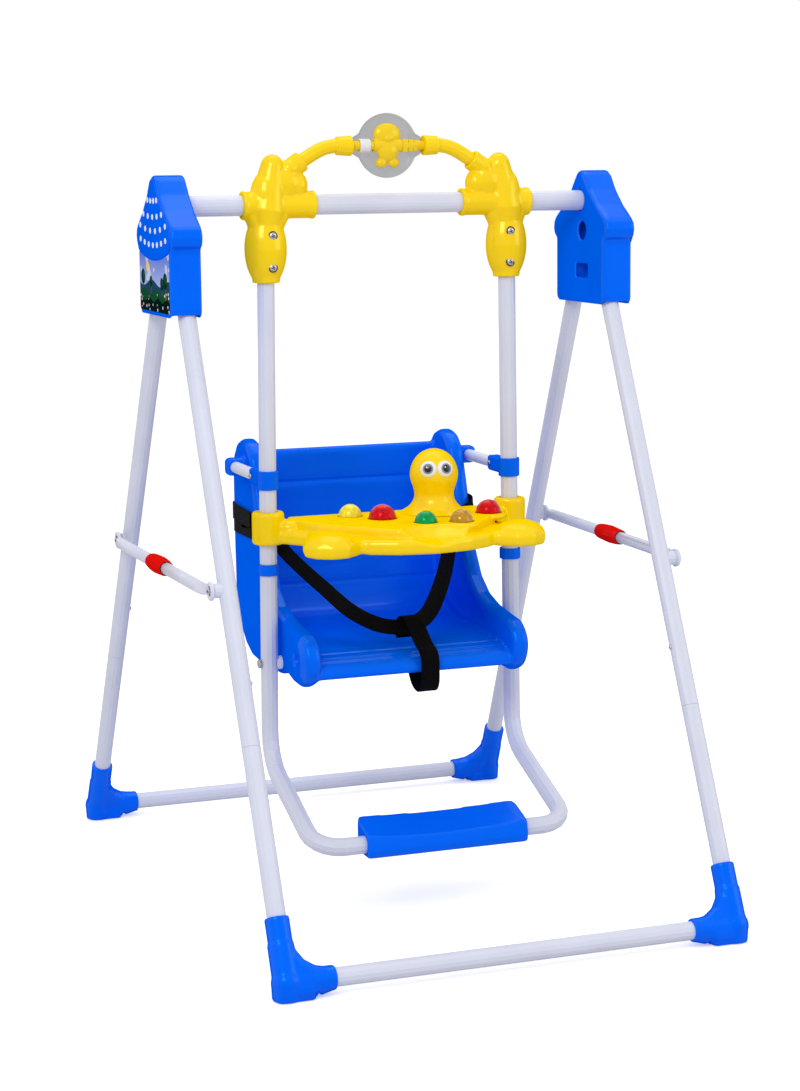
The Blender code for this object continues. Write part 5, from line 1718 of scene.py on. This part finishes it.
@dataclass
class Webbing:
    """A woven band along a path, with its own map in metres."""

    name: str
    path: Sequence[Point]
    facing: Sequence[Point]
    finishes: Finishes
    replaced: Sequence[str] = ()
    half: float = 0.014
    thickness: float = 0.0016
    edge: float = 0.0005
    step: float = 0.004
    lanes: int = 6

    def curve(self) -> list[tuple[Vector, Vector]]:
        """Points every few millimetres along a soft curve through the path, with the band's facing there."""
        points = [Vector(p) for p in self.path]
        faces = [Vector(f).normalized() for f in self.facing]
        rows: list[tuple[Vector, Vector]] = []
        for index in range(len(points) - 1):
            start, end = points[index], points[index + 1]
            bends = (points[max(0, index - 1)], start, end, points[min(len(points) - 1, index + 2)])
            count = max(1, round((end - start).length / self.step))
            for part in range(count):
                share = part / count
                facing = faces[index].lerp(faces[index + 1], share).normalized()
                rows.append((soft_point(bends, share), facing))
        rows.append((points[-1], faces[-1]))
        return rows

    def rows(self) -> list[tuple[Vector, Vector]]:
        """Each point of the curve with the band's half width, square to its run and its facing."""
        curve = self.curve()
        rows = []
        for index, (place, facing) in enumerate(curve):
            ahead = curve[min(index + 1, len(curve) - 1)][0] - curve[max(index - 1, 0)][0]
            rows.append((place, facing.cross(ahead).normalized() * self.half))
        return rows

    def build(self) -> bpy.types.Object:
        """Makes the band.

        Returns:
            The object.
        """
        rows = self.rows()
        bm = bmesh.new()
        layer = bm.loops.layers.uv.new("web")
        bmesh.ops.create_grid(bm, x_segments=len(rows) - 1, y_segments=self.lanes, size=0.5)
        lengths = [0.0]
        for (first, _), (second, _) in zip(rows, rows[1:]):
            lengths.append(lengths[-1] + (second - first).length)
        homes = {vert: (round((vert.co.x + 0.5) * (len(rows) - 1)), vert.co.y + 0.5) for vert in bm.verts}
        for face in bm.faces:
            for loop in face.loops:
                row, lane = homes[loop.vert]
                loop[layer].uv = (lengths[row], lane * 2 * self.half)
        for vert, (row, lane) in homes.items():
            centre, half = rows[row]
            vert.co = centre + half * (2 * lane - 1)
        made = piece(self.name, bm, [self.finishes.webbing], "swing", 1.2)
        thick = made.modifiers.new("thickness", "SOLIDIFY")
        thick.thickness = self.thickness
        thick.offset = 0.0
        soft = made.modifiers.new("edges", "BEVEL")
        soft.width = self.edge
        soft.segments = 1
        soft.limit_method = "ANGLE"
        if self.replaced:
            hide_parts(*self.replaced)
        return made


@dataclass
class Harness:
    """The lap belt round the seat, its turns on the wings and the strap between the legs."""

    finishes: Finishes
    wing_x: float = 0.1918
    rear_y: float = 0.2650
    wrap_z: float = 0.5650
    right_lift: float = 0.012
    second_turn: float = 0.0215
    turn_proud: float = 0.0019
    crotch_half: float = 0.0155
    wing_facing: tuple[Point, ...] = (
        (1, 0, 0), (1, 0, 0), (0.92, -0.4, 0), (0.55, -0.84, 0.1), (0.05, -1.0, 0.15), (-0.45, -0.86, 0.25))
    left_run: tuple[Point, ...] = (
        (0.1500, 0.1100, 0.5380), (0.1270, 0.0860, 0.5090), (0.0960, 0.0480, 0.4750),
        (0.0710, 0.0000, 0.4470), (0.0430, -0.0400, 0.4310), (0.0160, -0.0590, 0.4265),
        (-0.0060, -0.0620, 0.4262))
    left_facing: tuple[Point, ...] = (
        (-0.30, -0.88, 0.36), (-0.22, -0.86, 0.46), (-0.10, -0.84, 0.54), (0.05, -0.82, 0.57),
        (0.10, -0.80, 0.60), (0.0, -0.78, 0.62), (0.0, -0.78, 0.62))
    right_run: tuple[Point, ...] = (
        (0.1480, 0.0980, 0.5480), (0.1290, 0.0720, 0.5240), (0.1060, 0.0360, 0.4920),
        (0.0800, 0.0000, 0.4640), (0.0520, -0.0340, 0.4420), (0.0240, -0.0560, 0.4310),
        (0.0020, -0.0610, 0.4290))
    right_facing: tuple[Point, ...] = (
        (-0.72, -0.66, 0.20), (-0.72, -0.62, 0.30), (-0.60, -0.66, 0.44), (-0.42, -0.72, 0.55),
        (-0.25, -0.76, 0.60), (0.0, -0.78, 0.62), (0.0, -0.78, 0.62))
    back_facing: tuple[Point, ...] = (
        (1, 0, 0), (1, 0, 0), (0.95, 0.3, 0), (0.6, 0.8, 0), (0, 1, 0), (-0.6, 0.8, 0), (-0.5, 0.86, 0),
        (0, 1, 0))
    crotch_run: tuple[Point, ...] = (
        (0.002, -0.0560, 0.4080), (0.002, -0.0530, 0.4240), (0.003, -0.0580, 0.4410),
        (0.006, -0.0700, 0.4445), (0.011, -0.0810, 0.4320), (0.015, -0.0900, 0.4160),
        (0.017, -0.1040, 0.4030), (0.018, -0.1175, 0.3960), (0.019, -0.1240, 0.3820),
        (0.019, -0.1255, 0.3640), (0.019, -0.1250, 0.3480), (0.018, -0.1215, 0.3360),
        (0.017, -0.1120, 0.3300), (0.016, -0.0980, 0.3330), (0.015, -0.0860, 0.3420),
        (0.015, -0.0760, 0.3540))
    crotch_facing: tuple[Point, ...] = (
        (0, 1, 0), (0, 1, 0.2), (0, 0.6, 0.8), (0, -0.3, 0.95), (0, -0.75, 0.6), (0, -0.7, 0.7),
        (0, -0.4, 0.9), (0, -0.7, 0.7), (0, -1, 0.2), (0, -1, 0), (0, -1, -0.1), (0, -0.8, -0.6),
        (0, -0.1, -1), (0, 0.5, -0.86), (0, 0.7, -0.7), (0, 0.8, -0.6))

    def lap(self, side: Side) -> None:
        """One half of the belt, from the wing's outer face round its front edge to the lap.

        Args:
            side: which half.
        """
        left = side is Side.LEFT
        base = self.wrap_z + (0.0 if left else self.right_lift)
        outer = [(self.wing_x, 0.205, base + 0.012), (self.wing_x, 0.160, base + 0.016),
                 (self.wing_x, 0.125, base + 0.014), (0.1860, 0.1085, base + 0.010),
                 (0.1730, 0.1000, base + 0.004), (0.1590, 0.1030, base - 0.004)]
        run = self.left_run if left else self.right_run
        facing = self.left_facing if left else self.right_facing
        Webbing(f"lap_belt_{side.word}", sided(side, (*outer, *run)),
                sided(side, self.wing_facing + facing), self.finishes, [f"strap_{side.word}"]).build()

    def rear(self) -> None:
        """The belt across the seat's back and forward along both wings, with a second turn on each wing."""
        half = [(self.wing_x, 0.1500, self.wrap_z), (self.wing_x, 0.2000, self.wrap_z),
                (self.wing_x, 0.2440, self.wrap_z), (0.1855, 0.2610, self.wrap_z),
                (0.1720, self.rear_y, self.wrap_z), (0.1560, 0.2610, self.wrap_z),
                (0.1500, 0.2470, self.wrap_z), (0.1400, 0.2455, self.wrap_z)]
        path = half + sided(Side.LEFT, reversed(half))
        facing = [*self.back_facing, *sided(Side.LEFT, reversed(self.back_facing))]
        Webbing("rear_belt", path, facing, self.finishes, ["strap_rear"]).build()
        lift = self.wrap_z + self.second_turn
        over = self.wing_x + self.turn_proud
        turn = [(over, 0.1480, lift - 0.004), (over, 0.2000, lift - 0.002), (over, 0.2440, lift),
                (0.1865, 0.2620, lift), (0.1720, self.rear_y + 0.0012, lift), (0.1570, 0.2615, lift)]
        for side in Side:
            Webbing(f"belt_turn_{side.word}", sided(side, turn),
                    sided(side, self.back_facing[:len(turn)]), self.finishes).build()

    def crotch(self) -> None:
        """The strap that loops round the belt, runs over the seat's front edge and back under it."""
        Webbing("crotch_strap", self.crotch_run, self.crotch_facing, self.finishes, ["strap_crotch"],
                half=self.crotch_half).build()

    def build(self) -> None:
        """Makes the whole harness."""
        for side in Side:
            self.lap(side)
        self.rear()
        self.crotch()


@dataclass
class Studio:
    """A pale floor, an even white surround and soft lamps."""

    surround: float = 0.68
    floor_tint: Tint = Tint(255, 255, 255)
    floor_bounce: Tint = Tint(222, 222, 226)
    floor_glow: float = 0.42
    floor_half: float = 12.0
    floor_drop: float = 0.0006
    lamps_aim: Point = (0.0, 0.0, 0.6)
    key: tuple[Point, float, float] = ((-2.2, -2.6, 3.0), 50.0, 1.6)
    fill: tuple[Point, float, float] = ((2.8, -2.2, 1.7), 16.0, 1.8)
    top: tuple[Point, float, float] = ((0.3, 0.9, 3.4), 22.0, 2.2)

    def build_floor(self) -> None:
        """The floor, as white as the surround for the camera and a little darker for the object."""
        bm = bmesh.new()
        bmesh.ops.create_grid(bm, x_segments=8, y_segments=8, size=self.floor_half)
        bmesh.ops.translate(bm, vec=(0, 0, -self.floor_drop), verts=bm.verts)
        mesh = bpy.data.meshes.new("floor")
        bm.to_mesh(mesh)
        bm.free()
        floor = bpy.data.objects.new("floor", mesh)
        bpy.context.scene.collection.objects.link(floor)
        graph = Graph.start("pale_floor")
        seen = graph.node("ShaderNodeLightPath").outputs["Is Camera Ray"]
        graph.join(graph.mix(seen, self.floor_bounce.linear(), self.floor_tint.linear()),
                   graph.shader.inputs["Base Color"])
        graph.join(graph.math("MULTIPLY", seen, self.floor_glow), graph.shader.inputs["Emission Strength"])
        graph.shader.inputs["Emission Color"].default_value = (1.0, 1.0, 1.0, 1.0)
        graph.shader.inputs["Roughness"].default_value = 0.9
        graph.shader.inputs["Specular IOR Level"].default_value = 0.0
        mesh.materials.append(graph.owner)

    def build_surround(self) -> None:
        """White where the camera, a gloss or clear plastic sees it, and a plain light elsewhere."""
        world = bpy.data.worlds.new("studio")
        bpy.context.scene.world = world
        graph = Graph(world)
        graph.tree.nodes.clear()
        rays = graph.node("ShaderNodeLightPath")
        either = graph.math("MAXIMUM", rays.outputs["Is Camera Ray"], rays.outputs["Is Glossy Ray"])
        seen = graph.math("MAXIMUM", either, rays.outputs["Is Transmission Ray"])
        shine = graph.node("ShaderNodeBackground")
        shine.inputs["Color"].default_value = (1.0, 1.0, 1.0, 1.0)
        graph.join(graph.span(seen, self.surround, 1.0), shine.inputs["Strength"])
        graph.join(shine.outputs[0], graph.node("ShaderNodeOutputWorld").inputs[0])

    def build_lamp(self, name: str, place: Point, power: float, size: float) -> None:
        """A square soft lamp that faces the object's middle.

        Args:
            name: the lamp's name.
            place: where it hangs.
            power: its watts.
            size: its side.
        """
        lamp = bpy.data.lights.new(name, "AREA")
        lamp.energy = power
        lamp.size = size
        made = bpy.data.objects.new(name, lamp)
        made.location = place
        aim = Vector(self.lamps_aim) - Vector(place)
        made.rotation_euler = aim.to_track_quat("-Z", "Y").to_euler()
        bpy.context.scene.collection.objects.link(made)

    def build(self) -> None:
        """Makes the floor, the surround and the lamps."""
        bpy.context.scene.view_settings.view_transform = "Standard"
        self.build_floor()
        self.build_surround()
        for name in ("key", "fill", "top"):
            place, power, size = getattr(self, name)
            self.build_lamp(name + "_lamp", place, power, size)


@dataclass
class ViewPoint:
    """The camera, at the photograph's angle and distance."""

    place: Point = (-1.3253, -3.6667, 1.1691)
    azimuth: float = -0.3505
    elevation: float = 0.1576
    roll: float = -0.0102
    focal: float = 2431.5
    picture_height: float = 1091.0
    sensor: float = 36.0

    def build(self) -> None:
        """Makes the camera and sets it as the scene's own."""
        ahead = Vector((-math.sin(self.azimuth) * math.cos(self.elevation),
                        math.cos(self.azimuth) * math.cos(self.elevation), -math.sin(self.elevation)))
        right = Vector((math.cos(self.azimuth), math.sin(self.azimuth), 0.0))
        up = right.cross(ahead)
        across = math.cos(self.roll) * right + math.sin(self.roll) * up
        over = -math.sin(self.roll) * right + math.cos(self.roll) * up
        data = bpy.data.cameras.new("camera")
        data.sensor_fit = "VERTICAL"
        data.sensor_height = self.sensor
        data.lens = self.focal / self.picture_height * self.sensor
        data.clip_start = 0.05
        data.clip_end = 60.0
        camera = bpy.data.objects.new("camera", data)
        camera.matrix_world = Matrix.Translation(self.place) @ Matrix(
            ((across.x, over.x, -ahead.x, 0), (across.y, over.y, -ahead.y, 0),
             (across.z, over.z, -ahead.z, 0), (0, 0, 0, 1)))
        bpy.context.scene.collection.objects.link(camera)
        bpy.context.scene.camera = camera


def main() -> None:
    """Builds the looks of the swing set in order."""
    logging.basicConfig(level=logging.INFO, format="%(name)s: %(message)s")
    finishes = Finishes()
    dress_nodes(finishes)
    for side in Side:
        HouseTrim(side, finishes).build()
        SoftSkin(f"house_{side.word}", "stand_top", finishes.blue, Slot.BLUE, grain=0.0020, rounds=10).build()
        Hanger(side, finishes).build()
        SoftSkin(f"arch_{side.word}", "swing", finishes.yellow, Slot.YELLOW, grain=0.0011, rounds=5).build()
        for face in Face:
            FootSkin(side, face, finishes).build()
    TraySkin(finishes).build()
    SoftSkin("seat", "swing", finishes.blue, Slot.BLUE, grain=0.0029, rounds=5).build()
    Footrest(finishes).build()
    Fastenings(finishes).build()
    ToyFace(finishes).build()
    Spinner(finishes).build()
    Harness(finishes).build()
    Studio().build()
    ViewPoint().build()


if __name__ == "__main__":
    main()
